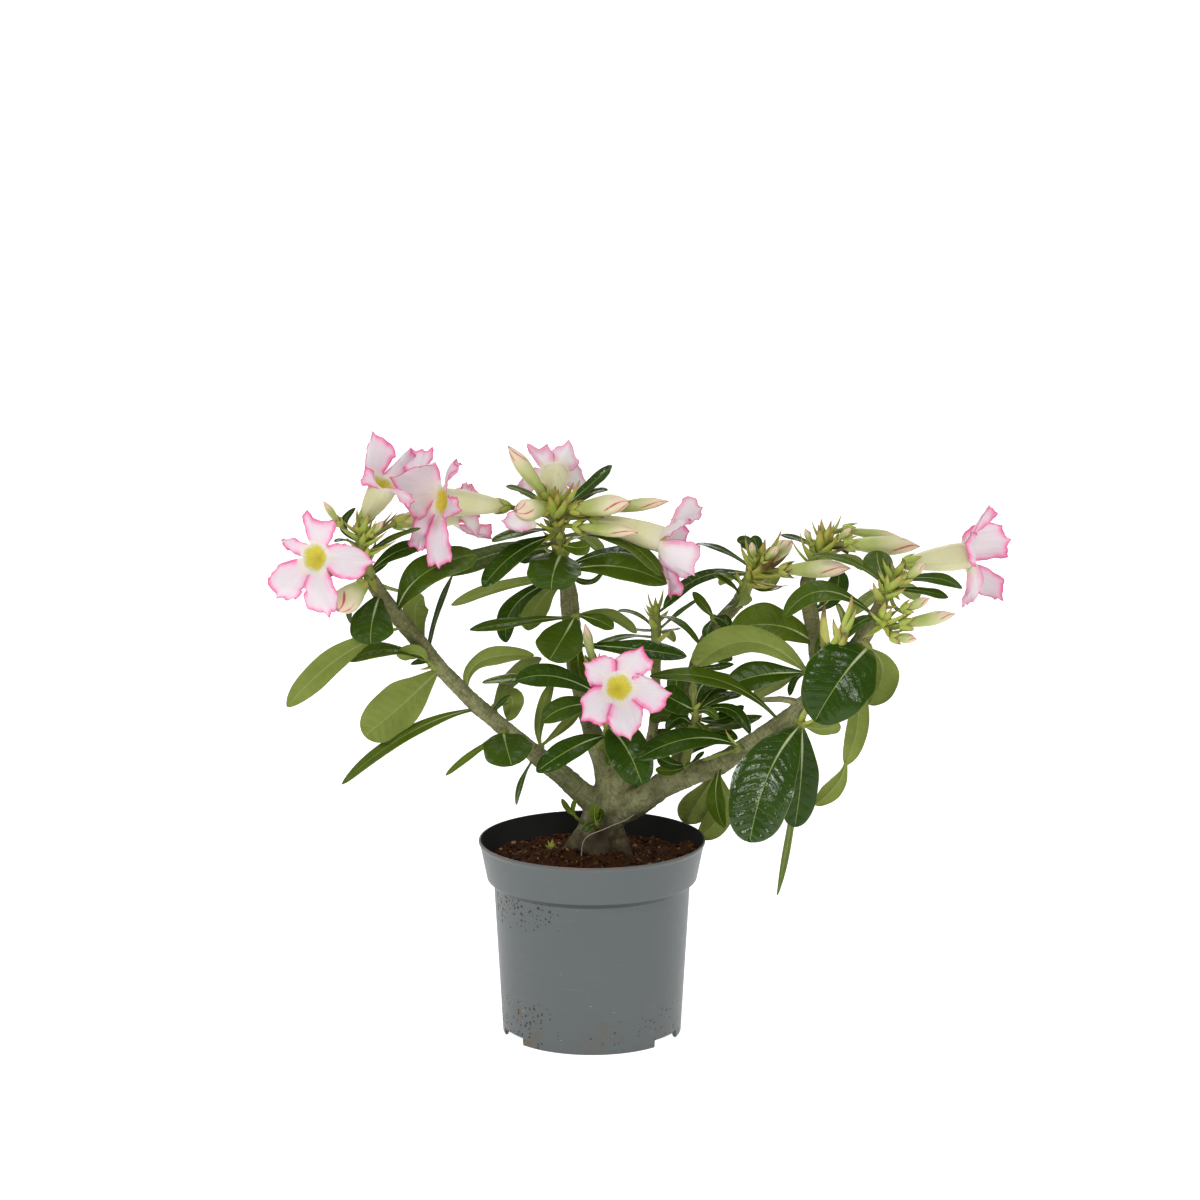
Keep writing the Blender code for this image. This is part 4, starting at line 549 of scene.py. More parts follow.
# Blooms: spray, where the stalk leaves it, foot of the tube, throat, and each petal's tip and two corners
BLOOMS = {
    "front_left": ("left_shoot", (-149.5, 322, -8), (-160, 321.5, -18), (-181, 320.5, -50), [
        ((-141, 317.5, -64), (-155, 329, -60), (-157, 304.5, -64)),
        ((-178, 345.5, -56), (-189, 352, -48), (-166, 345, -58)),
        ((-204, 332.5, -38), (-198, 331.5, -40), (-200, 326.5, -42)),
        ((-207, 293, -42), (-211, 309, -38), (-193, 292.5, -48)),
        ((-172, 280, -58), (-187, 291, -50), (-165, 290, -60))]),
    "upper_left": ("left_shoot", (-151, 334, -6), (-148.5, 346, 8), (-134.5, 369, -1), [
        ((-142.5, 404.5, 14), (-147, 388, 8), (-126, 391, 14)),
        ((-149, 375, -6), (-147, 381, -4), (-152, 369.5, -2)),
        ((-115.5, 358, -28), (-119, 363.5, -24), (-119, 352.5, -26)),
        ((-110, 392, 28), (-120, 393, 24), (-103, 391.5, 28)),
        ((-118, 393.5, 20), (-125.5, 385, 18), (-113, 383, 22))]),
    "left_hidden": ("left_shoot", (-150, 329, -5), (-127, 343.5, 2), (-91, 351, 24), [
        ((-74, 333.5, 14), (-85, 343, 12), (-71.5, 344, 18)),
        ((-65, 333, 28), (-74, 336, 24), (-66, 343.5, 30)),
        ((-74, 352, 50), (-72, 358, 50), (-74, 345, 50)),
        ((-78, 370, 38), (-74, 362, 40), (-84, 366, 36)),
        ((-82, 371, 22), (-79, 364, 22), (-85, 366, 20))]),
    "left_middle": ("middle_shoot", (-27, 347, 18), (-57, 354.5, 6), (-98, 358, -4.5), [
        ((-132.5, 374, -17), (-106, 384, -4), (-112, 342, -14)),
        ((-84.5, 352, -32), (-90.5, 359, -28), (-94, 344.5, -30)),
        ((-114, 324, -10), (-120.5, 331, -8), (-108, 328, -12)),
        ((-100, 313, -26), (-108, 316.5, -22), (-90.5, 321, -28)),
        ((-88, 386.5, -20), (-88, 379, -27), (-84, 381, -16))]),
    "top_back": ("middle_shoot", (-25, 351, 19), (-25, 358, 25), (-24.5, 376, 50), [
        ((-35, 393, 52), (-43, 397, 50), (-28, 394.5, 54)),
        ((-15, 399, 52), (-28, 391, 55), (-10.5, 382, 52)),
        ((-2, 369, 58), (-9, 383, 55), (-4, 361, 62)),
        ((-49, 368.5, 60), (-42, 378, 56), (-45, 361, 62)),
        ((-25, 352, 72), (-36, 356, 68), (-14, 356, 68))]),
    "centre_right": ("middle_shoot", (-20, 346, 15), (2, 346, 8), (46, 332.5, 2), [
        ((73, 354, -8), (61, 361.5, -4), (69, 343, -14)),
        ((66, 345, -20), (60, 348, -8), (58.5, 339, -28)),
        ((67.5, 308.5, -8), (70.5, 331, -10), (58.5, 310, -4)),
        ((52, 292.5, -25), (46.5, 306, -24), (58, 300, -25)),
        ((64, 338, 24), (56, 348, 20), (58, 322, 20))]),
    "far_right": ("right_shoot", (198, 306, -14), (206, 317, -11), (244.5, 322, 1), [
        ((259, 356, 4), (257, 350, 2), (264.5, 348.5, 6)),
        ((273.5, 333, 18), (263.5, 344, 14), (269.5, 319, 16)),
        ((269.5, 291.5, 4), (268.5, 309, 6), (259, 293, 2)),
        ((246, 288.5, -14), (240.5, 288, -14), (254, 295, -12)),
        ((243.5, 330, -18), (247, 339, -12), (248, 315, -14))]),
    "front_centre": ("front_shoot", (14, 220, -3), (17.7, 232, -6), (17.7, 233.5, -42), [
        ((53, 229.5, -46), (34, 242, -45), (43, 215, -45)),
        ((33.5, 261.5, -46), (17.5, 255.5, -43), (41, 247.5, -45)),
        ((-6, 250.5, -44), (12, 255.5, -43), (-2.5, 235, -43)),
        ((-7.5, 211, -44), (-5, 228, -43), (9, 207, -44)),
        ((25.6, 197, -46), (11, 206.5, -45), (35.5, 214.5, -43))]),
}

# Buds: spray, where the stalk leaves it, foot, tip and greatest radius
BUDS = {
    "left_open": ("left_shoot", (-147, 311, -8), (-150.5, 302, -15), (-167, 285, -34), 8.8),
    "middle_tall": ("middle_shoot", (-25, 353, 16), (-31, 362, 12), (-54.5, 394.5, 4), 5.2),
    "middle_open": ("middle_shoot", (-26, 348, 14), (-31, 353, 7), (-50, 351.5, -13), 7.6),
    "middle_fat": ("middle_shoot", (-22, 350, 14), (-11, 352.5, 7), (25, 357.5, -8), 7.0),
    "middle_slim": ("middle_shoot", (-22, 348, 19), (6, 352.5, 15), (50, 358, 10), 4.4),
    "middle_low": ("middle_shoot", (-21, 342, 13), (-9, 341, 2), (30, 337, -16), 4.6),
    "front_tall": ("front_shoot", (13.5, 221, -2), (0.5, 250, -1), (-4.5, 276.5, -5), 3.3),
    "back_fat": ("back_shoot", (108, 310, 37), (126, 312.5, 19), (169, 313.5, -2), 6.0),
    "back_pale": ("back_shoot", (110, 316, 40), (115, 320, 43), (131, 331.5, 48), 5.8),
    "upper_arched": ("upper_shoot", (153, 334, 28), (166, 338.5, 33), (201.5, 334, 30), 3.5),
    "upper_fat": ("upper_shoot", (150, 326, 28), (167, 329.5, 19), (214, 328, 16), 6.4),
    "right_slim": ("right_low_tuft", (195, 275, -22), (204, 276, -26), (238, 283, -33), 4.5),
}

# How many scales crowd round the end of each shoot
SCALES = {"left_shoot": 13, "middle_shoot": 20, "right_shoot": 13, "upper_shoot": 9, "back_shoot": 18,
          "right_low_tuft": 6, "thin_shoot": 8, "front_shoot": 5, "inner_shoot": 4}

# A petal that unfolds beside its bud: two ends of its foot, its tip and two corners
LOOSE_PETALS = {
    "middle_open": ((-36, 341, -2), (-38, 351, -4), (-60, 345, -8), (-50, 353, -7), (-51, 337.5, -6)),
}

# Small green buds that stay joined to their spray: stalk start, foot, tip and radius
SMALL_BUDS = {
    "back_shoot": [((108, 312, 36), (113, 319, 22), (122, 328, 14), 2.8),
                   ((107, 310, 36), (106, 320, 26), (104, 331, 20), 2.4)],
    "left_shoot": [((-149, 328, -6), (-144, 336, -10), (-136, 345, -14), 2.4),
                   ((-151, 334, -6), (-165, 343.5, -10), (-175, 358, -12), 2.5)],
    "upper_shoot": [((150, 326, 27), (160, 332, 22), (169, 340, 18), 2.4),
                    ((148, 322, 27), (143, 330, 22), (139, 340, 18), 2.2)],
    "right_shoot": [((195, 300, -17), (205, 286, -26), (221, 293.5, -31), 3.3),
                    ((197, 304, -15), (204, 306, -20), (218, 316.5, -24), 3.3)],
    "right_low_tuft": [((195, 275, -22), (198, 267.5, -27), (213, 266, -33), 3.4)],
}


def smooth(low, high, value):
    """0 below low, 1 above high and an even rise between them."""
    share = np.clip((value - low) / (high - low), 0.0, 1.0)
    return share * share * (3 - 2 * share)


def unit(vectors, least=1e-6):
    """Vectors along the last axis of an array, brought to length 1."""
    return vectors / np.maximum(np.linalg.norm(vectors, axis=-1, keepdims=True), least)


def seen(x, z, y):
    """The place at depth y that the front view shows at x and z, in millimetres.

    High up, the middle of the plant leans back and its two sides lean forward.
    """
    rise = max(0.0, min(1.0, (z - LEAN_FROM) / LEAN_OVER))
    y += LEAN * rise * rise * (3 - 2 * rise) * math.cos(math.pi * (x - LEAN_MIDDLE) / LEAN_WIDTH)
    return EYE + (Vector((x, 0.0, z)) - EYE) * (1.0 - y / EYE.y)


def bent(foot, middle, tip, t):
    """A point and its direction on the curve from foot to tip that passes middle half way."""
    pull = 2 * middle - (foot + tip) / 2
    point = foot * (1 - t) ** 2 + pull * 2 * t * (1 - t) + tip * t * t
    along = ((pull - foot) * (1 - t) + (tip - pull) * t).normalized()
    return point, along


def nearest(point, lines):
    """The point of some lines that lies nearest to a point."""
    best = None
    for line in lines:
        for a, b in zip(line, line[1:]):
            _, share = geometry.intersect_point_line(point, a, b)
            spot = a.lerp(b, max(0.0, min(1.0, share)))
            if best is None or (spot - point).length < (best - point).length:
                best = spot
    return best


def centre_lines(rows):
    """The middle lines of stems or branches."""
    return [[seen(x, z, y) for x, z, y, _ in row] for row in rows]


def rounded_line(row, steps):
    """A row of x, z, y and radius as an even curve of places and radii."""
    spots = [(*seen(x, z, y), r) for x, z, y, r in row]
    spots = np.array([spots[0], *spots, spots[-1]])
    curve = []
    for a, b, c, d in zip(spots, spots[1:], spots[2:], spots[3:]):
        for t in np.arange(steps) / steps:
            curve.append(0.5 * (2 * b + (c - a) * t + (2 * a - 5 * b + 4 * c - d) * t * t
                                + (3 * b - a - 3 * c + d) * t ** 3))
    curve.append(spots[-1])
    return [Vector(spot[:3]) for spot in curve], [float(spot[3]) for spot in curve]


def fan(across, up, a):
    """The direction at an angle from across towards up."""
    return across * math.cos(a) + up * math.sin(a)


def frames(line):
    """Each place of a line with two directions across it that turn as little as they can."""
    across = (line[1] - line[0]).orthogonal().normalized()
    for i, spot in enumerate(line):
        along = (line[min(i + 1, len(line) - 1)] - line[max(i - 1, 0)]).normalized()
        across = (across - along * across.dot(along)).normalized()
        yield spot, across, along.cross(across)


def tube_faces(rings, sides, first=0):
    """Faces of a closed tube whose rings of points follow each other from the point first."""
    faces = []
    for i in range(rings - 1):
        for k in range(sides):
            a = first + i * sides + k
            b = first + i * sides + (k + 1) % sides
            faces.append((a, b, b + sides, a + sides))
    faces.append(tuple(first + k for k in reversed(range(sides))))
    faces.append(tuple(first + (rings - 1) * sides + k for k in range(sides)))
    return faces


def placed(name, data):
    """A new object in the scene."""
    thing = bpy.data.objects.new(name, data)
    bpy.context.scene.collection.objects.link(thing)
    return thing


def settled(thing):
    """Applies an object's modifiers, and gives its new mesh."""
    graph = bpy.context.evaluated_depsgraph_get()
    mesh = bpy.data.meshes.new_from_object(thing.evaluated_get(graph))
    thing.modifiers.clear()
    thing.data = mesh
    return mesh


def show(thing, slot, *nodes):
    """Puts a piece on the plant in place of its nodes."""
    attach(thing, "root")
    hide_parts(*nodes)


class Piece:
    """Points, faces and marks of one visible piece, gathered from many shells.

    A mark is where a point lies on its shell, and a trait is what its shell is like. What they hold
    depends on the material that reads them.
    """

    def __init__(self, node):
        self.node = node
        self.random = random.Random(node)
        self.points = []
        self.faces = []
        self.marks = []
        self.traits = []
        self.kinds = []
        self.materials = []

    def kind(self, material):
        """The number of a material on this piece."""
        if material not in self.materials:
            self.materials.append(material)
        return self.materials.index(material)

    def add(self, points, faces, marks, traits, material):
        """Adds one shell."""
        first = sum(len(block) for block in self.points)
        self.points.append(np.asarray(points, dtype=np.float64))
        self.marks.append(np.asarray(marks, dtype=np.float64))
        self.traits.append(np.asarray(traits, dtype=np.float64))
        self.faces += [tuple(int(n) + first for n in face) for face in faces]
        self.kinds += [self.kind(material)] * len(faces)

    def make(self, name, slot):
        """Makes the object, which stands for its node."""
        mesh = bpy.data.meshes.new(name)
        points = np.concatenate(self.points) * MM
        mesh.from_pydata(points.tolist(), [], self.faces)
        for key, blocks in (("mark", self.marks), ("trait", self.traits)):
            layer = mesh.attributes.new(key, "FLOAT_VECTOR", "POINT")
            layer.data.foreach_set("vector", np.concatenate(blocks).ravel())
        for material in self.materials:
            mesh.materials.append(material)
        mesh.polygons.foreach_set("material_index", self.kinds)
        mesh.shade_smooth()
        mesh.set_sharp_from_angle(angle=math.radians(RIM_ANGLE))
        mesh.update()
        show(placed(name, mesh), slot, self.node)


def blank(rows, columns):
    """Empty grids for the places, marks, traits and thickness of a sheet."""
    return [np.zeros((rows, columns, parts)) for parts in (3, 2, 3)] + [np.zeros((rows, columns))]


def sheet(piece, grid, thick, marks, traits, material, lower=None):
    """A closed thin shell from a grid of points. Its upper face looks along rows cross columns."""
    rows, columns = grid.shape[:2]
    count = rows * columns
    normal = unit(np.cross(np.gradient(grid, axis=1), np.gradient(grid, axis=0)), 1e-9)
    half = np.broadcast_to(np.asarray(thick) / 2, (rows, columns))[..., None]
    under = half if lower is None else half + lower[..., None]
    points = np.concatenate([(grid + normal * half).reshape(-1, 3),
                             (grid - normal * under).reshape(-1, 3)])
    sides = np.concatenate([np.ones(count), np.zeros(count)])[:, None]
    marks = np.concatenate([np.tile(marks.reshape(-1, 2), (2, 1)), sides], axis=1)
    traits = np.tile(traits.reshape(-1, 3), (2, 1))
    number = np.arange(count).reshape(rows, columns)
    a, b = number[:-1, :-1].ravel(), number[:-1, 1:].ravel()
    c, d = number[1:, 1:].ravel(), number[1:, :-1].ravel()
    faces = list(zip(a, b, c, d))
    faces += list(zip(d + count, c + count, b + count, a + count))
    edge = np.concatenate([number[0], number[1:, -1], number[-1, -2::-1], number[-2:0:-1, 0]])
    for low, high in zip(edge, np.roll(edge, -1)):
        faces.append((high, low, low + count, high + count))
    piece.add(points, faces, marks, traits, material)


def hose(piece, line, radii, sides, trait, material, lobes=0.0, turns=0.0):
    """A closed round shell along a line. Its skin may swell in five lobes that wind round it."""
    points = []
    marks = []
    run = 0.0
    for i, (spot, across, up) in enumerate(frames(line)):
        share = i / (len(line) - 1)
        run += (spot - line[max(i - 1, 0)]).length
        for k in range(sides):
            a = math.tau * k / sides
            swell = 1.0 + lobes * math.sin(PETALS * (a + turns * share * share * math.tau))
            points.append(spot + fan(across, up, a) * radii[i] * swell)
            marks.append((a, run, share))
    piece.add(points, tube_faces(len(line), sides), marks, [trait] * len(points), material)


def leaf_width(t, peak, blunt):
    """Share of a leaf's full width at t of its length: narrow foot, broad near a blunt tip."""
    rise = blunt * peak / (1 - peak)
    return (t / peak) ** rise * ((1 - t) / (1 - peak)) ** blunt


def leaf(piece, row, root, material):
    """A leaf with a folded, gently waved and quilted blade, thick along its midrib and stalk."""
    middle = seen(*row[1])
    tip = seen(*row[2])
    width = row[3]
    facing = Vector(row[4])
    length = (middle - root).length + (tip - middle).length
    rows = int(min(56, max(16, length / LEAF_STEP)))
    half_columns = 4 if width < 9 else 6 if width < 25 else 10
    sides = np.linspace(-1, 1, 2 * half_columns + 1)
    u = np.sign(sides) * np.abs(sides) ** 1.2
    dice = piece.random
    phase = dice.uniform(0, math.tau)
    waves = dice.uniform(1.2, 2.2)
    ruffle = dice.uniform(0.04, 0.10)
    twist = dice.uniform(-LEAF_TWIST, LEAF_TWIST)
    tone = dice.random() * LEAF_TONES
    tone = row[5] if len(row) > 5 else tone
    peak = row[6] if len(row) > 6 else LEAF_PEAK
    blunt = 0.5 if width > 22 else 0.62
    grid, marks, traits, thick = blank(rows + 1, len(u))
    ridge = np.zeros_like(thick)
    quilt = min(0.9, width * 0.02)
    starts = [dice.uniform(0, math.tau) for _ in range(4)]
    for i in range(rows + 1):
        t = 1 - (1 - i / rows) ** 1.35
        point, along = bent(root, middle, tip, t)
        up = (facing - along * facing.dot(along)).normalized()
        side = along.cross(up)
        turn = twist * (t - 0.4)
        up, side = fan(up, side, turn), fan(side, -up, turn)
        half = max(math.hypot(leaf_width(t, peak, blunt) * width / 2, PETIOLE_R * (1 - t)), 0.14)
        left, right = [1 + 0.045 * math.sin(7.0 * t + slow) + 0.02 * math.sin(19.0 * t + quick)
                       for slow, quick in (starts[:2], starts[2:])]
        apart = u * half * np.where(u < 0, left, right)
        fold = LEAF_FOLD * half * (np.sqrt(u * u + 0.03) - math.sqrt(0.03))
        curl = -LEAF_CURL * half * np.abs(u) ** 4
        wave = half * ruffle * np.sin(math.tau * waves * t + phase + 1.7 * np.sign(u)) * u * u
        vein = (t * length - np.abs(apart) * 0.6) / VEIN_GAP + 0.3 * np.sin(5.0 * t + phase)
        pillow = quilt * np.sin(math.pi * vein) ** 2 * np.sin(math.pi * np.minimum(np.abs(u), 1))
        pillow = pillow * float(smooth(0.1, 0.3, t))
        lift = fold + curl + wave + pillow
        grid[i] = np.array(point) + np.outer(apart, side) + np.outer(lift, up)
        marks[i, :, 0] = apart
        marks[i, :, 1] = t * length + 0.3 * VEIN_GAP * math.sin(5.0 * t + phase)
        traits[i] = np.stack([np.full_like(u, tone), np.full_like(u, t), np.abs(u)], axis=1)
        stalky = 1 - float(smooth(0.02, 0.2, t))
        thick[i] = LEAF_THICK + STALK_THICK * stalky * np.sqrt(np.maximum(1 - u * u * 0.8, 0))
        ridge[i] = (0.75 * (1 - t) + 0.1) * np.exp(-(apart / 0.9) ** 2) * (1 - stalky)
    sheet(piece, grid, thick, marks, traits, material, ridge)


def bract(piece, foot, tip, radius, top, material, dry=None):
    """A fleshy pointed green scale that leans out from its stem."""
    middle = foot.lerp(tip, 0.5)
    facing = top - middle
    along = (tip - foot).normalized()
    up = (facing - along * facing.dot(along)).normalized()
    length = (tip - foot).length
    middle = middle - up * length * 0.08
    u = np.linspace(-1, 1, BRACT_COLUMNS)
    tone = piece.random.random()
    tone = tone if dry is None else dry
    grid, marks, traits, thick = blank(BRACT_ROWS + 1, BRACT_COLUMNS)
    for i in range(BRACT_ROWS + 1):
        t = i / BRACT_ROWS
        point, along = bent(foot, middle, tip, t)
        side = along.cross(up)
        half = max(radius * (0.75 + 0.45 * math.sin(math.pi * t)) * (1 - t ** 1.7) ** 0.8, 0.08)
        lift = half * 0.55 * u * u
        grid[i] = np.array(point) + np.outer(u * half, side) + np.outer(lift, up)
        marks[i, :, 0] = u * half
        marks[i, :, 1] = t * length
        traits[i] = np.stack([np.full_like(u, tone), np.full_like(u, t), np.abs(u)], axis=1)
        thick[i] = 0.4 + radius * 0.75 * (1 - t) * np.sqrt(np.maximum(1 - u * u, 0))
    sheet(piece, grid, thick, marks, traits, material)


def scales(piece, row, count, material):
    """Fleshy scales that crowd round the end of a shoot."""
    line, radii = rounded_line(row, 6)
    dice = piece.random
    for n in range(count):
        at = int((0.42 + 0.56 * n / count) * (len(line) - 1))
        spot = line[at]
        along = (line[min(at + 1, len(line) - 1)] - line[at - 1]).normalized()
        across = along.orthogonal().normalized()
        out = fan(across, along.cross(across), 2.4 * n + dice.uniform(-0.4, 0.4))
        long = dice.uniform(8.0, 12.5)
        foot = spot + out * radii[at] * 0.6
        tip = spot + out * (radii[at] + long
                            * dice.uniform(0.45, 0.7)) + along * long * dice.uniform(0.6, 0.9)
        bract(piece, foot, tip, dice.uniform(2.1, 3.0), spot + along * 40, material)


def stem(piece, row, material):
    """A young green stem with a slightly uneven skin and a rounded end."""
    line, radii = rounded_line(row, 6)
    dice = piece.random
    phase = dice.uniform(0, math.tau)
    radii = [r * (1 + 0.05 * math.sin(i * 1.9 + phase)) for i, r in enumerate(radii)]
    end = (line[-1] - line[-2]).normalized()
    for share in (0.45, 0.8, 0.97):
        line.append(line[-1] + end * radii[-1] * 0.25)
        radii.append(radii[-1] * (1 - share * 0.55))
    hose(piece, line, radii, STEM_SIDES, (dice.random(), 0, 0), material)


def stalk(piece, start, foot, along, lobe, size, paints):
    """A flower stalk and its cup, with five pointed lobes that hold the flower or bud."""
    bend = foot - along * min(9.0, (foot - start).length * 0.5)
    line = []
    radii = []
    for i in range(9):
        t = i / 8
        line.append(start * (1 - t) ** 2 + bend * 2 * t * (1 - t) + foot * t * t)
        radii.append(size * (1.5 + 0.3 * (1 - t) + (CUP_R - 1.5) * float(smooth(0.72, 1.0, t))))
    hose(piece, line, radii, STEM_SIDES, (piece.random.random(), 0, 0), paints["stem"])
    across = along.orthogonal().normalized()
    up = along.cross(across)
    for k in range(PETALS):
        out = fan(across, up, math.tau * (k + 0.3) / PETALS)
        low = foot + (out * (CUP_R - 1.3) - along * 2.5) * size
        long = piece.random.uniform(0.85, 1.2)
        high = foot + along * (size * lobe) * long + out * size * (CUP_R + LOBE_LEAN)
        bract(piece, low, high, 2.3 * size, high - out * 30 + along * 20, paints["bract"])


def bud(piece, foot, tip, radius, material):
    """A closed bud: a spindle of five petals that wind round each other to a point."""
    shares, widths = zip(*BUD_SHAPE)
    lowest = min(TUBE_FOOT_R, radius * 0.7)
    steps = [i / BUD_ROWS for i in range(BUD_ROWS + 1)]
    line = [foot.lerp(tip, t) for t in steps]
    radii = [max(radius * float(np.interp(t, shares, widths)), lowest * (1 - t * 4)) for t in steps]
    for _ in range(2):
        inner = [(a + 2 * b + c) / 4 for a, b, c in zip(radii, radii[1:], radii[2:])]
        radii = [radii[0]] + inner + [radii[-1]]
    trait = (piece.random.random(), radius, 0)
    hose(piece, line, radii, BUD_SIDES, trait, material, BUD_LOBES, BUD_TURNS)


def petal_order(throat, axis, petals):
    """Directions across the flower, its petals in turn, and the turn that suits them best."""
    across = axis.orthogonal().normalized()
    up = axis.cross(across)
    found = []
    for spots in petals:
        ends = [seen(*spot) for spot in spots]
        out = sum(ends, Vector()) / 3 - throat
        found.append((math.atan2(out.dot(up), out.dot(across)), ends))
    found.sort(key=lambda item: item[0])
    east = sum(math.cos(item[0] - math.tau * i / PETALS) for i, item in enumerate(found))
    north = sum(math.sin(item[0] - math.tau * i / PETALS) for i, item in enumerate(found))
    return across, up, math.atan2(north, east), [item[1] for item in found]


def bloom(piece, foot, throat, petals, material):
    """A trumpet flower: a tube that widens into a yellow throat with five waved, pointed petals."""
    axis = (throat - foot).normalized()
    reach = (throat - foot).length
    across, up, turn, petals = petal_order(throat, axis, petals)
    ring = PETALS * PETAL_COLUMNS
    shares, widths = zip(*TUBE_SHAPE)
    tone = piece.random.random()

    def skin(rows, radius, depth, level):
        grid, marks, traits, _ = blank(rows + 1, ring + 1)
        for i in range(rows + 1):
            t = i / rows
            for k in range(ring + 1):
                share = k / PETAL_COLUMNS
                out = fan(across, up, turn + math.tau * (share - 0.5) / PETALS)
                rib = 1 + 0.035 * math.cos(math.tau * share) * math.sin(math.pi * t)
                grid[i, k] = foot + axis * depth(t) + out * radius(t) * rib
                marks[i, k] = (NO_EDGE, level(t))
                traits[i, k] = (tone, share % 1.0, 0)
        sheet(piece, grid[:, ::-1], PETAL_THICK, marks[:, ::-1], traits[:, ::-1], material)

    skin(TUBE_ROWS, lambda t: float(np.interp(t, shares, widths)), lambda t: reach * t, lambda t: t - 1)
    skin(THROAT_ROWS, lambda t: 0.05 + (THROAT_R + 0.2) * t ** 0.8,
         lambda t: reach - 0.15 - THROAT_DEPTH * (1 - t) ** 1.4, lambda t: -0.3 * (1 - t))
    sides = TUBE_CAP_SIDES
    cap = [foot + fan(across, up, turn + math.tau * k / sides) * TUBE_SHAPE[0][1] for k in range(sides)]
    piece.add([foot.copy()] + cap, [(0, 1 + (k + 1) % sides, 1 + k) for k in range(sides)],
              [(NO_EDGE, -1, 0)] * (sides + 1), [(tone, 0, 0)] * (sides + 1), material)
    for i, ends in enumerate(petals):
        angles = turn + math.tau * (i + np.linspace(-0.5, 0.5, PETAL_COLUMNS + 1)) / PETALS
        outs = np.array([fan(across, up, a) for a in angles])
        base = np.array(throat) + outs * THROAT_R
        petal(piece, base, unit(outs * FLARE + np.array(axis) * (1 - FLARE)), ends, tone, material)


def petal(piece, base, ways, ends, tone, material):
    """One petal from the throat's edge out to its tip between two corners, waved and ragged."""
    dice = piece.random
    tip, *corners = [np.array(end) for end in ends]
    corners.sort(key=lambda corner: np.linalg.norm(corner - base[0]) - np.linalg.norm(corner - base[-1]))
    heart = base.mean(axis=0)
    length = np.linalg.norm(tip - heart)
    shares = np.linspace(0, 1, PETAL_ROWS + 1)[:, None]
    sides = np.linspace(-1, 1, PETAL_COLUMNS + 1)[None, :]
    hand = np.sign(sides)
    off = np.abs(sides)
    inward = sides * (1 - 0.16 * smooth(0.72, 1.0, shares) * off ** 4)
    phases = [dice.uniform(0, math.tau) for _ in range(8)]

    # The curve of each column from the base to the far edge
    near = np.abs(inward)[..., None]
    corner = np.where(inward[..., None] < 0, corners[0], corners[1])
    middle = (corners[0] + corners[1] + tip) / 3 - heart
    ahead = middle / np.linalg.norm(middle)
    swell = -np.sin(math.tau * near ** 0.9) * length * 0.035
    end = tip * (1 - near) + corner * near + ahead * swell
    goal = end.mean(axis=1, keepdims=True)
    pull = (base + heart) / 2 + ways.mean(axis=0) * length * 0.3 + (end - goal) * 0.8 + (goal - heart) * 0.2
    t = (1 - (1 - shares) ** 1.15)[..., None]
    grid = base[None] * (1 - t) ** 2 + pull * 2 * t * (1 - t) + end * t * t

    # Ragged sides and a frilled end
    half = np.linalg.norm(grid[:, -1] - grid[:, 0], axis=1)[:, None] / 2
    outer = unit(grid - grid[:, PETAL_COLUMNS // 2][:, None])
    grown = smooth(0.2, 0.7, shares)
    jag = np.sin(13 * shares + phases[0] + hand) + 0.5 * np.sin(29 * shares + phases[1] - hand)
    grid = grid + outer * (jag * grown * min(0.7, length * 0.022) * off ** 3)[..., None]
    frill = np.sin(6.0 * sides + phases[2]) + 0.8 * np.sin(14.0 * sides + phases[3])
    frill = frill * min(0.6, length * 0.018) * shares ** 5 * smooth(0.0, 0.2, off)
    grid = grid + ahead * frill[..., None]

    # Waves, a crease down the middle, a slight cup and a tilt against the next petal
    normal = unit(np.cross(np.gradient(grid, axis=1), np.gradient(grid, axis=0)))
    ruffle = np.sin(9.0 * shares + phases[4] + 2.1 * hand) * off ** 2.5
    ruffle = ruffle + 0.6 * np.sin(21.0 * shares + phases[5] - hand) * off ** 4
    ruffle = ruffle + 0.8 * np.sin(6.0 * sides + phases[6]) * shares ** 4
    crease = -0.6 * np.exp(-(sides * 3.5) ** 2) * np.sin(math.pi * shares)
    cup = 0.06 * half * (1 - sides ** 2) * np.sin(math.pi * shares)
    tilt = sides * (0.3 + 1.1 * shares)
    lift = 1.15 * ruffle * grown + crease - cup + tilt * smooth(0.0, 0.25, shares)
    grid = grid + normal * (lift * smooth(0.0, 0.15, shares))[..., None]

    # How far each point is from the petal's edge
    runs = np.linalg.norm(np.diff(grid, axis=1), axis=2)
    left = np.concatenate([np.zeros((PETAL_ROWS + 1, 1)), np.cumsum(runs, axis=1)], axis=1)
    rises = np.linalg.norm(np.diff(grid, axis=0), axis=2)
    low = np.concatenate([np.zeros((1, PETAL_COLUMNS + 1)), np.cumsum(rises, axis=0)])
    edge = np.minimum(np.minimum(left, left[:, -1:] - left), low[-1:] - low)
    young = smooth(0.0, 0.14, shares) + 0 * sides
    marks = np.stack([edge * young + NO_EDGE * (1 - young), shares + 0 * sides], axis=2)
    traits = np.stack([tone + 0 * young, (sides + 1) / 2 + 0 * shares, shares + 0 * sides], axis=2)
    sheet(piece, grid[:, ::-1], PETAL_THICK, marks[:, ::-1], traits[:, ::-1], material)


class Shade:
    """A value, vector or colour in a material. Arithmetic with it adds maths nodes."""

    def __init__(self, socket):
        self.socket = socket
        self.id_data = socket.id_data

    def __add__(self, other):
        return maths("ADD", self, other)

    def __radd__(self, other):
        return maths("ADD", other, self)

    def __sub__(self, other):
        return maths("SUBTRACT", self, other)

    def __mul__(self, other):
        return maths("MULTIPLY", self, other)

    def __truediv__(self, other):
        return maths("DIVIDE", self, other)

    def __abs__(self):
        return maths("ABSOLUTE", self)


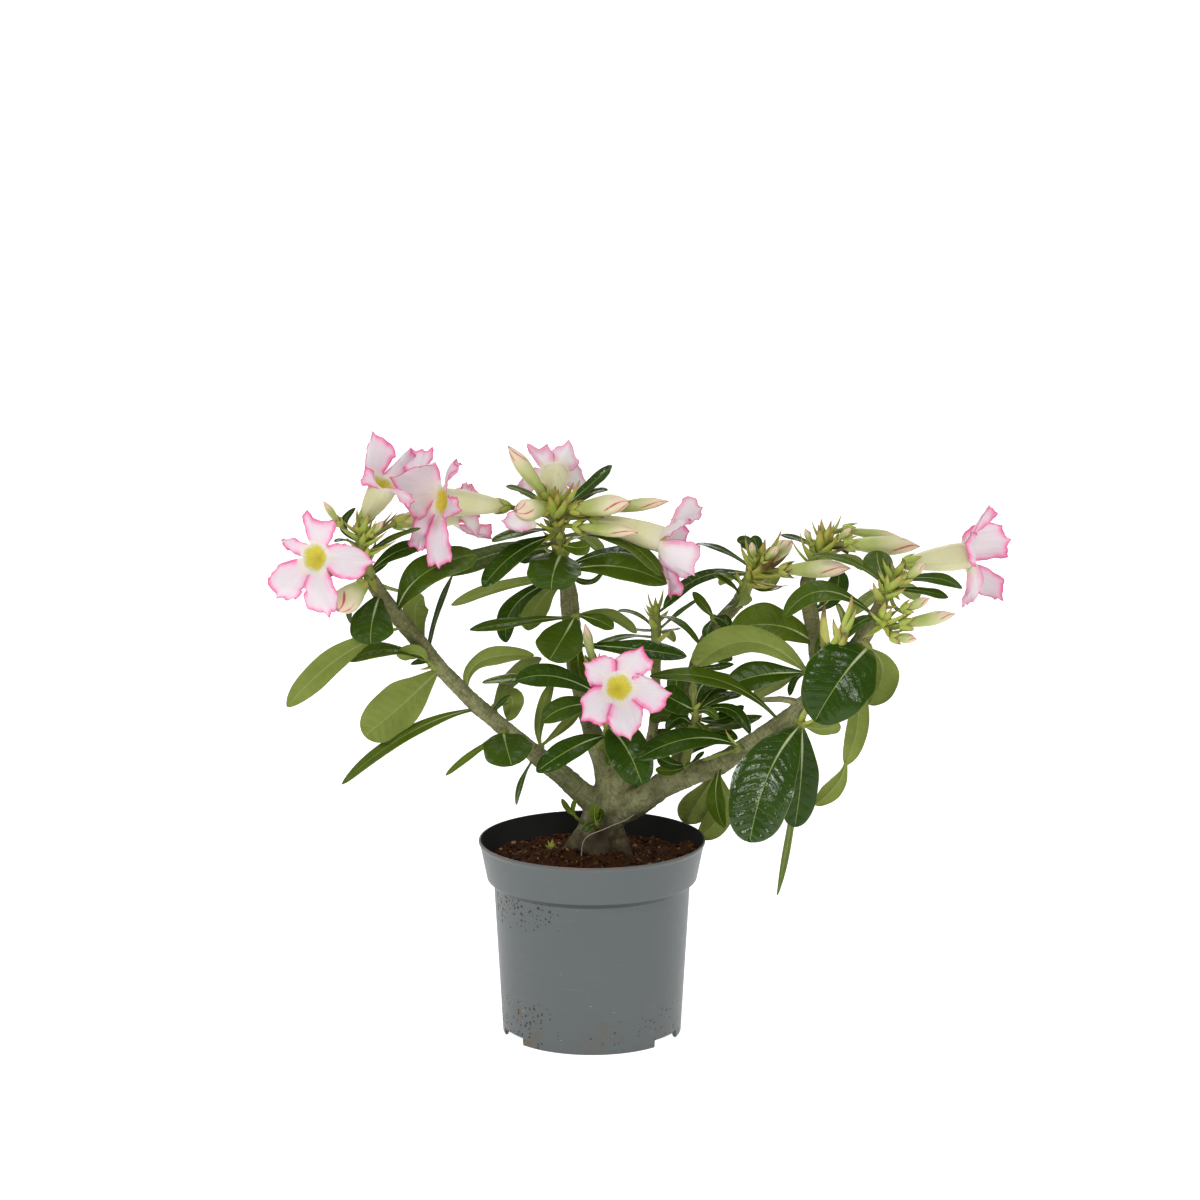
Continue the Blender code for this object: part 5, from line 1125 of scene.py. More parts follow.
def feed(socket, value):
    """Sets an input, or links it to the shade or output that feeds it."""
    source = getattr(value, "socket", value)
    if isinstance(source, bpy.types.NodeSocket):
        socket.id_data.links.new(source, socket)
    else:
        socket.default_value = source


def node(tree, kind, inputs=None, **settings):
    """Adds a shader node. An input is a value or what feeds it."""
    made = tree.nodes.new("ShaderNode" + kind)
    for key, value in settings.items():
        setattr(made, key, value)
    for key, value in (inputs or {}).items():
        feed(made.inputs[key], value)
    return made


def maths(operation, a, b=0.0):
    """The result of a maths node."""
    tree = (a if hasattr(a, "id_data") else b).id_data
    return Shade(node(tree, "Math", {0: a, 1: b}, operation=operation).outputs[0])


def span(value, low, high, bottom=0.0, top=1.0):
    """Maps a value smoothly from one range to another."""
    made = node(value.id_data, "MapRange", {0: value, 1: low, 2: high, 3: bottom, 4: top},
                interpolation_type="SMOOTHSTEP")
    return Shade(made.outputs[0])


def blend(share, low, high):
    """Mixes two colours, each a tuple or a shade."""
    made = node(share.id_data, "Mix", {0: share}, data_type="RGBA")
    for number, colour in ((6, low), (7, high)):
        feed(made.inputs[number], (*colour, 1.0) if isinstance(colour, tuple) else colour)
    return Shade(made.outputs[2])


def grain(vector, scale, detail=3.0, roughness=0.55, distortion=0.0):
    """Noise between 0 and 1."""
    made = node(vector.id_data, "TexNoise", {"Vector": vector, "Scale": scale, "Detail": detail,
                                             "Roughness": roughness, "Distortion": distortion})
    return Shade(made.outputs[0])


def stretched(vector, x, y, z):
    """A vector scaled apart along its three axes."""
    made = node(vector.id_data, "VectorMath", {0: vector, 1: (x, y, z)}, operation="MULTIPLY")
    return Shade(made.outputs[0])


def marked(tree, key):
    """A point's own mark or trait: the vector and its three parts."""
    vector = node(tree, "Attribute", attribute_name=key).outputs["Vector"]
    return [Shade(vector)] + [Shade(part) for part in node(tree, "SeparateXYZ", {0: vector}).outputs]


def bumps(height, distance, strength=1.0, below=None):
    """A bump normal from a height between 0 and 1, laid over another one."""
    inputs = {"Height": height, "Distance": distance, "Strength": strength}
    if below is not None:
        inputs["Normal"] = below
    return Shade(node(height.id_data, "Bump", inputs).outputs[0])


def paint(name):
    """A new node material: its tree, its shader and a coordinate that stays with the object."""
    made = bpy.data.materials.new(name)
    made.use_nodes = True
    tree = made.node_tree
    place = Shade(node(tree, "TexCoord").outputs["Object"])
    return made, tree, tree.nodes["Principled BSDF"], place


def wire(shader, **inputs):
    """Sets or feeds the shader's inputs."""
    for key, value in inputs.items():
        feed(shader.inputs[key.replace("_", " ")], value)


def leaf_paint():
    """Glossy deep green above, thin pale midrib with a painted highlight near the foot, side veins, paler
    and duller below.
    """
    made, tree, shader, place = paint("leaf_green")
    _, apart, run, side = marked(tree, "mark")
    _, seed, reach, out = marked(tree, "trait")
    off = abs(apart)
    half = off / maths("MAXIMUM", out, 0.02)
    thin = maths("MINIMUM", half * 0.085, 0.65) * (span(reach, 0.1, 1.0, 1.0, 0.5)
                                                   + span(reach, 0.1, 0.55, 1.0, 0.0))
    rib = span(off, thin * 0.45, thin, 1.0, 0.0)
    slanted = run - off * 0.6
    wobble = grain(place, 90.0, 2.0)
    turn = slanted / VEIN_GAP + wobble * 0.9
    near = abs(maths("FRACT", turn) - 0.5)
    vein = span(near, 0.0, 0.08, 1.0, 0.0) * span(out, 0.5, 0.92, 1.0, 0.0)
    broad = span(half, 4.0, 9.0, 0.25, 1.0)
    vein = vein * broad
    cells = node(tree, "TexVoronoi", {"Vector": place, "Scale": 700.0}, feature="DISTANCE_TO_EDGE")
    cells = Shade(cells.outputs[0])
    net = span(cells, 0.0, 0.12, 1.0, 0.0)
    clouds = grain(place, 55.0, 4.0)
    deep = blend(clouds, (0.01, 0.034, 0.001), (0.036, 0.08, 0.002))
    fresh = blend(clouds, (0.055, 0.098, 0.003), (0.13, 0.18, 0.01))
    above = blend(span(seed, 0.1, 1.0), deep, fresh)
    above = blend(vein * 0.36, above, (0.095, 0.145, 0.025))
    # Near the leaf's foot the midrib turns near-white: partly its own pale colour, partly a painted
    # highlight.
    pale = blend(span(reach, 0.1, 0.6), (0.56, 0.62, 0.36), (0.24, 0.32, 0.07))
    above = blend(rib * 0.85, above, pale)
    above = blend(span(out, 0.95, 1.0, 0.0, 0.7), above, (0.17, 0.2, 0.05))
    below = blend(clouds, (0.125, 0.168, 0.026), (0.235, 0.28, 0.065))
    below = blend(vein * 0.25, below, (0.2, 0.24, 0.07))
    below = blend(net * 0.18, below, (0.075, 0.11, 0.02))
    below = blend(rib * 0.8, below, (0.25, 0.3, 0.1))
    colour = blend(side, below, above)
    stain = span(grain(place, 160.0, 3.0), 0.72, 0.8)
    colour = blend(stain * 0.3, colour, (0.12, 0.09, 0.03))
    colour = blend(span(reach, 0.0, 0.12, 0.7, 0.0), colour, (0.16, 0.2, 0.05))
    dull = span(seed, 0.0, 0.4) * 0.2
    gloss = span(seed, 0.0, 0.16, 0.42, 0.15) * span(side, 0.0, 1.0, 0.7, 1.0)
    rough = span(side, 0.0, 1.0, 0.52, 0.03) + grain(place, 210.0, 3.0) * 0.17
    rough = rough + dull
    normal = bumps(cells * 0.5, 0.00015, 0.4)
    sunk = vein * span(side, 0.0, 1.0, 0.4, -1.0)
    normal = bumps(sunk, 0.0006, 0.65, normal)
    normal = bumps(grain(place, 170.0, 4.0, 0.6), 0.0011, 0.6, normal)
    wire(shader, Base_Color=colour, Roughness=rough, Specular_IOR_Level=gloss, Normal=normal)
    return made


def stem_paint():
    """Young green stem, yellower in places, with fine rings and brown scars."""
    made, tree, shader, place = paint("young_stem")
    mark, *_ = marked(tree, "mark")
    rings = grain(stretched(mark, 0.35, 1.5, 0.0), 1.0, 3.0)
    clouds = grain(place, 180.0, 4.0)
    colour = blend(clouds, (0.11, 0.135, 0.014), (0.26, 0.285, 0.05))
    colour = blend(span(rings, 0.55, 0.72, 0.0, 0.6), colour, (0.09, 0.075, 0.03))
    colour = blend(span(grain(place, 260.0, 2.0), 0.62, 0.72, 0.0, 0.7), colour, (0.12, 0.07, 0.03))
    normal = bumps(rings, 0.0005, 0.7)
    normal = bumps(clouds, 0.0003, 0.4, normal)
    wire(shader, Base_Color=colour, Roughness=0.5, Normal=normal)
    return made


def bract_paint():
    """Green scales that turn yellow, orange and then dark brown at their dry tips."""
    made, tree, shader, place = paint("bract_green")
    mark, *_ = marked(tree, "mark")
    _, seed, reach, out = marked(tree, "trait")
    clouds = grain(place, 220.0, 3.0)
    colour = blend(clouds, (0.2, 0.27, 0.018), (0.46, 0.53, 0.1))
    colour = blend(span(seed, 0.55, 1.0, 0.0, 0.6), colour, (0.44, 0.38, 0.08))
    turned_t = reach + clouds * 0.3
    colour = blend(span(turned_t, 0.75, 1.05, 0.0, 0.75), colour, (0.44, 0.24, 0.06))
    dry = turned_t + seed * 0.25
    colour = blend(span(dry, 1.14, 1.36, 0.0, 0.9), colour, (0.085, 0.026, 0.012))
    colour = blend(span(out, 0.8, 1.0, 0.0, 0.2), colour, (0.34, 0.18, 0.06))
    streaks = grain(stretched(mark, 4.0, 0.3, 0.0), 1.0, 2.0)
    normal = bumps(streaks, 0.0003, 0.6)
    wire(shader, Base_Color=colour, Roughness=0.45, Normal=normal)
    return made


def petal_paint():
    """White petals that flush to hot pink at the edge, a yellow throat with painted shade deep down, and a
    cream tube.
    """
    made, tree, shader, place = paint("petal_white_pink")
    _, edge, reach, side = marked(tree, "mark")
    _, seed, share, _ = marked(tree, "trait")
    clouds = grain(place, 75.0, 3.0)
    fine = grain(place, 300.0, 3.0)
    streak_place = node(tree, "CombineXYZ", {0: share * 26.0, 1: reach * 1.6, 2: seed}).outputs[0]
    streaks = grain(streak_place, 1.0, 3.0)
    ragged = edge + (clouds - 0.5) * 5.0
    ragged = ragged + (streaks - 0.5) * 2.5
    white = blend(streaks, (0.63, 0.53, 0.57), (0.735, 0.675, 0.7))
    flush = blend(span(ragged, 1.5, 8.5, 0.9, 0.0), white, (0.8, 0.46, 0.61))
    flush = blend(span(ragged, -0.4, 4.0, 1.0, 0.0), flush, (0.8, 0.1, 0.3))
    flush = blend(span(edge, 0.1, 0.42, 0.8, 0.0), flush, (0.33, 0.015, 0.08))
    backside = blend(span(ragged, 0.0, 6.5, 0.85, 0.0), (0.74, 0.67, 0.7), (0.78, 0.26, 0.44))
    backside = blend(span(edge, 0.1, 0.6, 0.85, 0.0), backside, (0.4, 0.03, 0.12))
    face = blend(side, backside, flush)
    cream = blend(clouds, (0.6, 0.56, 0.26), (0.74, 0.68, 0.43))
    cream = blend(span(reach, -1.0, -0.6, 0.6, 0.0), cream, (0.45, 0.5, 0.17))
    cream = blend(span(fine, 0.66, 0.75, 0.0, 0.3), cream, (0.32, 0.17, 0.06))
    outside = blend(span(reach, -0.25, 0.4), cream, face)
    lines = span(streaks, 0.3, 0.6)
    yellow = blend(lines, (0.54, 0.42, 0.014), (0.67, 0.56, 0.04))
    lobe = abs(share - 0.5)
    inner = streaks * 0.1 + lobe * 0.13
    inner = reach + inner
    # Deep in the throat and down the tube the yellow darkens: painted shade.
    yellow = blend(span(reach, -0.3, -0.15, 0.3, 0.0), yellow, (0.4, 0.3, 0.01))
    glow = blend(span(inner, 0.04, 0.3, 0.4, 0.0), face, (0.78, 0.7, 0.32))
    inside = blend(span(inner, -0.02, 0.1), yellow, glow)
    colour = blend(side, outside, inside)
    normal = bumps(streaks, 0.0006, 0.4)
    normal = bumps(fine, 0.00012, 0.3, normal)
    wire(shader, Base_Color=colour, Roughness=0.5, Normal=normal)
    wire(shader, Subsurface_Weight=0.2, Subsurface_Radius=(0.003, 0.002, 0.002), Subsurface_Scale=1.0)
    wire(shader, Sheen_Weight=0.1, Sheen_Roughness=0.4)
    return made


def bud_paint():
    """Pale green buds whose cream ends carry a few curved red seams and a dark tip."""
    made, tree, shader, place = paint("bud_green")
    mark, around, _, share = marked(tree, "mark")
    _, seed, radius, _ = marked(tree, "trait")
    clouds = grain(place, 120.0, 3.0)
    green = blend(clouds, (0.25, 0.31, 0.055), (0.46, 0.5, 0.15))
    cream = blend(clouds, (0.6, 0.57, 0.3), (0.74, 0.68, 0.48))
    grown = share + radius * 0.05
    colour = blend(span(grown, 0.55, 1.15), green, cream)
    wound = around + share * share * (BUD_TURNS * math.tau)
    swirl = maths("SINE", wound * float(PETALS))
    shifted = swirl + (clouds - 0.5) * 0.7
    seam = span(shifted, -1.0, -0.72, 1.0, 0.0)
    chosen = maths("SINE", wound * 2.0 + seed * 20.0)
    late = span(share + chosen * 0.1, 0.64, 0.76)
    blush = span(share, 0.6, 0.92, 0.0, 0.8) * span(swirl, -1.0, 0.8, 1.0, 0.35)
    colour = blend(blush, colour, (0.8, 0.47, 0.4))
    colour = blend(seam * late * 0.9, colour, (0.42, 0.05, 0.06))
    colour = blend(span(share, 0.95, 1.0, 0.0, 0.85), colour, (0.16, 0.03, 0.03))
    speck = span(grain(place, 420.0, 2.0), 0.7, 0.78, 0.0, 0.4)
    colour = blend(speck, colour, (0.25, 0.13, 0.05))
    streaks = grain(stretched(mark, 3.5, 0.1, 0.0), 1.0, 2.0)
    normal = bumps(streaks, 0.0005, 0.4)
    normal = bumps(seam * late, 0.0004, -0.5, normal)
    wire(shader, Base_Color=colour, Roughness=0.42, Normal=normal)
    wire(shader, Subsurface_Weight=0.12, Subsurface_Radius=(0.003, 0.003, 0.0015), Subsurface_Scale=1.0)
    return made


def bark_paint():
    """Grey olive bark, mottled, with faint rings round the limbs, pores, old scars and a soiled foot."""
    made, tree, shader, place = paint("bark_olive")
    mark, _, _, height = marked(tree, "mark")
    rings = grain(stretched(mark, 1.0, 0.6, 0.0), 1.0, 4.0, 0.6, 0.5)
    coarse = grain(place, 50.0, 5.0, 0.6)
    fine = grain(place, 420.0, 5.0, 0.7)
    flecks = grain(stretched(mark, 0.12, 4.5, 0.0), 1.0, 4.0, 0.7)
    colour = blend(span(coarse, 0.25, 0.75), (0.102, 0.11, 0.037), (0.315, 0.315, 0.15))
    brown = span(grain(place, 24.0, 4.0, 0.6), 0.5, 0.68)
    colour = blend(brown * 0.45, colour, (0.125, 0.082, 0.04))
    colour = blend(span(height, 0.0, 1.0) * 0.45, colour, (0.105, 0.1, 0.02))
    colour = blend(span(flecks, 0.5, 0.66, 0.0, 0.65), colour, (0.075, 0.085, 0.045))
    colour = blend(span(flecks, 0.34, 0.46, 0.5, 0.0), colour, (0.26, 0.28, 0.17))
    colour = blend(span(rings, 0.53, 0.64, 0.0, 0.6), colour, (0.095, 0.062, 0.022))
    colour = blend(span(rings, 0.3, 0.42, 0.5, 0.0), colour, (0.34, 0.32, 0.2))
    scar = span(grain(place, 95.0, 3.0), 0.62, 0.7)
    colour = blend(scar * 0.6, colour, (0.1, 0.05, 0.026))
    pores = node(tree, "TexVoronoi", {"Vector": place, "Scale": 380.0}).outputs[0]
    colour = blend(span(pores, 0.1, 0.26, 0.75, 0.0), colour, (0.16, 0.08, 0.035))
    colour = blend(span(fine, 0.54, 0.7, 0.0, 0.55), colour, (0.05, 0.046, 0.018))
    colour = blend(span(fine, 0.34, 0.44, 0.4, 0.0), colour, (0.3, 0.32, 0.2))
    level = Shade(node(tree, "SeparateXYZ", {0: place}).outputs[2])
    dirt = level + (coarse - 0.5) * 0.07
    colour = blend(span(dirt, 0.124, 0.152, 0.9, 0.0), colour, (0.048, 0.028, 0.016))
    normal = bumps(rings, 0.0008, 0.45)
    normal = bumps(fine, 0.0006, 0.8, normal)
    normal = bumps(coarse, 0.0015, 0.5, normal)
    wire(shader, Base_Color=colour, Roughness=0.78, Specular_IOR_Level=0.3, Normal=normal)
    return made


def peat_paint():
    """Dark red brown peat with lighter fibres and specks."""
    made, tree, shader, place = paint("peat_brown")
    _, seed, light, _ = marked(tree, "trait")
    clouds = grain(place, 380.0, 5.0, 0.7)
    colour = blend(clouds, (0.003, 0.0015, 0.0008), (0.095, 0.034, 0.012))
    colour = blend(span(seed, 0.5, 1.0, 0.0, 0.9), colour, (0.2, 0.088, 0.032))
    colour = blend(span(seed, 0.92, 0.98, 0.0, 0.8), colour, (0.36, 0.2, 0.085))
    colour = blend(span(seed, 0.15, 0.35, 0.85, 0.0), colour, (0.006, 0.003, 0.002))
    colour = blend(light, colour, (0.55, 0.5, 0.42))
    normal = bumps(clouds, 0.0012, 1.0)
    wire(shader, Base_Color=colour, Roughness=0.95, Specular_IOR_Level=0.12, Normal=normal)
    return made


def pot_paint():
    """Satin grey plastic with faint scuffs and dried soil specks, painted shadow under the band, near-black
    painted shade inside.
    """
    made, tree, shader, place = paint("pot_grey")
    x, y, z = node(tree, "SeparateXYZ", {0: place}).outputs
    geometry_node = node(tree, "NewGeometry")
    level = node(tree, "CombineXYZ", {0: x, 1: y, 2: 0.0}).outputs[0]
    facing = node(tree, "VectorMath", {0: geometry_node.outputs["True Normal"], 1: level},
                  operation="DOT_PRODUCT").outputs["Value"]
    inside = span(facing, -0.002, -0.02)
    clouds = grain(place, 14.0, 3.0)
    colour = blend(clouds, (0.09, 0.103, 0.104), (0.105, 0.118, 0.119))
    scuff = span(grain(stretched(place, 30.0, 30.0, 400.0), 1.0, 4.0, 0.7), 0.6, 0.72)
    colour = blend(scuff * 0.12, colour, (0.2, 0.205, 0.2))
    shift = node(tree, "TexNoise", {"Vector": place, "Scale": 700.0, "Detail": 1.0}).outputs["Color"]
    shift = node(tree, "VectorMath", {0: shift, 3: 0.0016}, operation="SCALE").outputs[0]
    spot = node(tree, "VectorMath", {0: place, 1: shift}, operation="ADD").outputs[0]
    cells = node(tree, "TexVoronoi", {"Vector": spot, "Scale": 380.0, "Randomness": 1.0})
    colours = node(tree, "SeparateColor", {0: cells.outputs["Color"]}).outputs
    chance, rare = map(Shade, colours[:2])
    size = chance * 0.27
    patch = span(grain(place, 26.0, 2.0), 0.52, 0.66)
    low = span(z, 0.012, 0.05, 1.0, 0.0)
    under_rim = span(z, 0.07, 0.09, 0.0, 1.6) * span(z, 0.104, 0.1)
    under_rim = under_rim * span(x, -0.012, -0.03)
    corner = span(x, -0.022, -0.036, 0.0, 1.3) * span(z, 0.022, 0.04, 1.0, 0.0)
    low = low + corner
    where = patch * 0.45 + (low * 0.75 + under_rim)
    speck = maths("LESS_THAN", cells.outputs["Distance"], size * where)
    dust = span(grain(place, 60.0, 5.0, 0.7), 0.5, 0.75) * (low * 0.6)
    colour = blend(dust, colour, (0.125, 0.085, 0.05))
    # A thin dark line just under the band: painted shadow of the band's step.
    step = span(z, 0.1005, 0.1018) * span(z, 0.1042, 0.1054, 1.0, 0.0)
    colour = blend(step * 0.75, colour, (0.03, 0.033, 0.033))
    colour = blend(speck * 0.85, colour, (0.035, 0.022, 0.014))
    fleck = span(rare, 0.94, 0.95) * span(cells.outputs["Distance"], 0.1, 0.14, 1.0, 0.0)
    colour = blend(fleck * (0.25 + low), colour, (0.42, 0.42, 0.4))
    rim = span(z, 0.1288, 0.1306) * span(grain(place, 75.0, 4.0, 0.7), 0.42, 0.6)
    colour = blend(rim * 0.7, colour, (0.16, 0.105, 0.06))
    # Faces that look inwards are painted near-black: painted shade inside the pot.
    colour = blend(inside, colour, (0.005, 0.005, 0.004))
    rough = 0.36 + grain(place, 120.0, 4.0) * 0.12
    rough = rough + maths("MAXIMUM", speck, inside) * 0.3
    normal = bumps(grain(place, 900.0, 3.0), 0.00004, 0.5)
    normal = bumps(speck, 0.0003, 0.5, normal)
    wire(shader, Base_Color=colour, Roughness=rough, Specular_IOR_Level=0.32, Normal=normal)
    return made


def floor_paint():
    """Plain pale studio floor."""
    made, _, shader, _ = paint("floor_pale")
    wire(shader, Base_Color=(0.6, 0.6, 0.6, 1.0), Roughness=0.9, Specular_IOR_Level=0.1)
    wire(shader, Emission_Color=(1.0, 1.0, 1.0, 1.0), Emission_Strength=FLOOR_GLOW)
    return made


def thick_wood():
    """The trunk, roots and limbs as smooth shells: points, faces, and lines with their radii."""
    verts = []
    faces = []
    lines = []
    for part, row in BRANCHES.items():
        line, radii = rounded_line(row, 5)
        sides = TRUNK_SIDES if part == "trunk" else LIMB_SIDES
        lines.append((line, radii))
        faces += tube_faces(len(line), sides, len(verts))
        for (spot, across, up), radius in zip(frames(line), radii):
            for k in range(sides):
                verts.append(spot + fan(across, up, math.tau * k / sides) * radius)
    return verts, faces, lines


def bark(material):
    """One skin over trunk, roots and limbs, with swellings and rings raised on it."""
    verts, faces, lines = thick_wood()
    mesh = bpy.data.meshes.new("bark_shells")
    mesh.from_pydata([v * MM for v in verts], [], faces)
    thing = placed("trunk_and_branches_bark", mesh)
    shell = thing.modifiers.new("skin", "REMESH")
    shell.mode = "VOXEL"
    shell.voxel_size = BARK_VOXEL * MM
    even = thing.modifiers.new("even", "SMOOTH")
    even.factor = BARK_EASE
    even.iterations = BARK_EASES
    mesh = settled(thing)
    count = len(mesh.vertices)
    points = np.zeros(count * 3)
    mesh.vertices.foreach_get("co", points)
    points = points.reshape(-1, 3) / MM
    normals = np.zeros(count * 3)
    mesh.vertex_normals.foreach_get("vector", normals)
    normals = normals.reshape(-1, 3)
    best = np.full(count, 1e9)
    run = np.zeros(count)
    thick = np.ones(count)
    around = np.zeros(count)
    branch = np.zeros(count)
    for number, (line, radii) in enumerate(lines):
        travelled = 0.0
        for a, b, r, r2 in zip(line, line[1:], radii, radii[1:]):
            start = np.array(a)
            step = np.array(b) - start
            size = np.linalg.norm(step)
            share = np.clip((points - start) @ step / (size * size), 0, 1)
            away = points - start - share[:, None] * step
            gap = np.linalg.norm(away, axis=1) - (r + (r2 - r) * share)
            closer = gap < best
            best = np.where(closer, gap, best)
            run = np.where(closer, travelled + share * size, run)
            thick = np.where(closer, r + (r2 - r) * share, thick)
            around = np.where(closer, np.arctan2(away[:, 1], away[:, 0]), around)
            branch = np.where(closer, number, branch)
            travelled += size
    lift = np.zeros(count)
    for i, (x, y, z) in enumerate(points):
        spot = Vector((x, y, z))
        lift[i] = 0.55 * noise.noise(spot / 13.0) + 0.28 * noise.noise(spot / 4.5)
        lift[i] += 0.34 * noise.noise(Vector((run[i] / 1.9, around[i] * 0.5, branch[i] * 7.3)))
    lift *= np.clip(thick / 6.0, 0.4, 1.3)
    points += normals * lift[:, None]
    mesh.vertices.foreach_set("co", (points * MM).ravel())
    young = smooth(*YOUNG_BARK, points[:, 2])
    marks = np.stack([run, around + branch * 5.0, young], axis=1)
    mesh.attributes.new("mark", "FLOAT_VECTOR", "POINT").data.foreach_set("vector", marks.ravel())
    mesh.materials.append(material)
    mesh.shade_smooth()
    mesh.update()
    show(thing, "bark", "trunk_and_branches")


def soil_height(x, y):
    """Height of the uneven soil: it mounds up to the trunk and is lumpy all over."""
    mound = SOIL_MOUND * max(0.0, 1 - math.hypot(x, y) / BASE_R) ** 1.3
    spot = Vector((x / SOIL_LUMP_WIDE, y / SOIL_LUMP_WIDE, 3.1))
    bank = sum(rise * math.exp(-((x - east) ** 2 + (y - north) ** 2) / wide)
               for east, north, rise, wide in SOIL_BANKS)
    return SOIL_WALL_Z + mound + bank + noise.noise(spot) * SOIL_LUMP


def wall_inside(z):
    """The radius of the pot's inner wall at a height."""
    if z < WALL_TOP_Z:
        return BASE_R + (WALL_TOP_R - BASE_R) * z / WALL_TOP_Z - WALL
    share = (z - BAND_FOOT_Z) / (POT_HEIGHT - BAND_FOOT_Z)
    return BAND_FOOT_R + (RIM_R - BAND_FOOT_R) * max(share, 0.0) - WALL


def soil(material, seedling):
    """Peat with a crumbly surface, and loose crumbs, fibres and white specks on it."""
    piece = Piece("soil")
    edge = wall_inside(SOIL_WALL_Z) - 0.2
    profile = [(0.2, WALL + 0.4), (PAD_R - 1.0, WALL + 0.4), (GUTTER_R[0] - 1.1, GUTTER_Z + WALL + 0.4),
               (BASE_R - WALL - 0.2, GUTTER_Z + WALL + 0.4), (WALL_TOP_R - WALL - 0.5, WALL_TOP_Z - 1.0)]
    points = []
    for r, z in profile:
        for k in range(SOIL_SIDES):
            a = math.tau * k / SOIL_SIDES
            points.append((r * math.cos(a), r * math.sin(a), z))
    for i in range(SOIL_RINGS + 1):
        r = edge * (1 - i / (SOIL_RINGS + 0.5))
        for k in range(SOIL_SIDES):
            a = math.tau * k / SOIL_SIDES
            x = r * math.cos(a)
            y = r * math.sin(a)
            spot = Vector((x, y, 0))
            rough = 1.5 * noise.noise(spot / 2.6) + 0.8 * noise.noise(spot / 1.1)
            z = soil_height(x, y) + rough
            points.append((x, y, min(z, POT_HEIGHT - 1.0)))
    faces = tube_faces(len(profile) + SOIL_RINGS + 1, SOIL_SIDES)
    piece.add(points, faces, [(0, 0, 0)] * len(points), [(SOIL_TONE, 0, 0)] * len(points), material)
    dice = piece.random
    made = bmesh.new()
    bmesh.ops.create_icosphere(made, subdivisions=2, radius=1.0)
    ball = np.array([v.co[:] for v in made.verts])
    ball_faces = [tuple(v.index for v in f.verts) for f in made.faces]
    made.free()
    for n in range(CRUMBS):
        r = (edge - 1.5) * math.sqrt(dice.random())
        a = dice.uniform(0, math.tau)
        x = r * math.cos(a)
        y = r * math.sin(a)
        size = dice.uniform(0.35, 1.0) if n % BIG_CRUMB_EACH else dice.uniform(1.0, 1.9)
        pale = 0.0 if n % PALE_CRUMB_EACH else 1.0
        shape = np.array([dice.uniform(0.7, 1.5), dice.uniform(0.6, 1.1), dice.uniform(0.5, 0.9)]) * size
        if n % FIBRE_EACH == 5:
            shape = np.array([dice.uniform(2.2, 4.5), 0.35, 0.3])
        if pale:
            shape = np.array([0.55, 0.5, 0.4])
        turn = dice.uniform(0, math.tau)
        tilt = dice.uniform(-0.5, 0.5)
        lump = 1 + 0.28 * np.sin(ball @ np.array([dice.uniform(2, 6) for _ in range(3)]))
        spots = ball * lump[:, None] * shape
        spots[:, 2] += spots[:, 0] * tilt
        c, s = math.cos(turn), math.sin(turn)
        east, north, up = spots.T
        spots = np.stack([east * c - north * s, east * s + north * c, up], axis=1)
        spots += np.array([x, y, min(soil_height(x, y) + shape[2] * 0.35, POT_HEIGHT - 1.5)])
        trait = (dice.random(), pale, 0)
        piece.add(spots, ball_faces, [(0, 0, 0)] * len(spots), [trait] * len(spots), material)
    hose(piece, *rounded_line(THREAD, 5), 8, (0.0, 0.8, 0), material)
    for foot, tip in SEEDLING:
        bract(piece, seen(*foot), seen(*tip), 1.5, seen(*SEEDLING_TOP), seedling, 0.8)
    piece.make("soil_crumbs", "peat")


def turned(profile, sides):
    """A closed solid turned round the upright axis from points r and z, axis to axis."""
    verts = []
    faces = []
    rings = []
    for r, z in profile:
        if r == 0:
            rings.append([len(verts)] * (sides + 1))
            verts.append(Vector((0.0, 0.0, z)))
        else:
            first = len(verts)
            for k in range(sides):
                a = math.tau * k / sides
                verts.append(Vector((r * math.cos(a), r * math.sin(a), z)))
            rings.append([first + k for k in range(sides)] + [first])
    for low, high in zip(rings, rings[1:]):
        for k in range(sides):
            face = [low[k], low[k + 1], high[k + 1], high[k]]
            faces.append(tuple(dict.fromkeys(face)))
    return verts, faces


def eased(profile, radius, steps=3):
    """A profile whose corners are rounded off."""
    made = [profile[0]]
    for low, corner, high in zip(profile, profile[1:], profile[2:]):
        low, corner, high = Vector(low), Vector(corner), Vector(high)
        reach = min(radius, (low - corner).length * 0.45, (high - corner).length * 0.45)
        start = corner + (low - corner).normalized() * reach
        end = corner + (high - corner).normalized() * reach
        for i in range(steps + 1):
            t = i / steps
            made.append(tuple(start * (1 - t) ** 2 + corner * 2 * t * (1 - t) + end * t * t))
    made.append(profile[-1])
    return made


def wedge(azimuth, angle, inner, outer, low, high):
    """A sector of a ring, used to cut a notch. Azimuth 0 is the front."""
    verts = []
    steps = NOTCH_STEPS
    for z in (low, high):
        for r in (inner, outer):
            for k in range(steps + 1):
                a = math.radians(azimuth - angle / 2 + angle * k / steps - 90)
                verts.append(Vector((r * math.cos(a), r * math.sin(a), z)))
    n = steps + 1
    faces = [tuple(range(n)) + tuple(reversed(range(n, 2 * n))),
             tuple(range(2 * n, 3 * n)) + tuple(reversed(range(3 * n, 4 * n)))]
    for k in range(steps):
        faces.append((k, k + 1, 2 * n + k + 1, 2 * n + k))
        faces.append((n + k, n + k + 1, 3 * n + k + 1, 3 * n + k))
    faces.append((0, n, 3 * n, 2 * n))
    faces.append((steps, n + steps, 3 * n + steps, 2 * n + steps))
    return verts, faces


def plain_object(name, verts, faces):
    """A closed mesh object with its faces turned out, from millimetre points."""
    mesh = bpy.data.meshes.new(name)
    mesh.from_pydata([Vector(v) * MM for v in verts], [], [tuple(f) for f in faces])
    made = bmesh.new()
    made.from_mesh(mesh)
    bmesh.ops.recalc_face_normals(made, faces=made.faces)
    made.to_mesh(mesh)
    made.free()
    return placed(name, mesh)


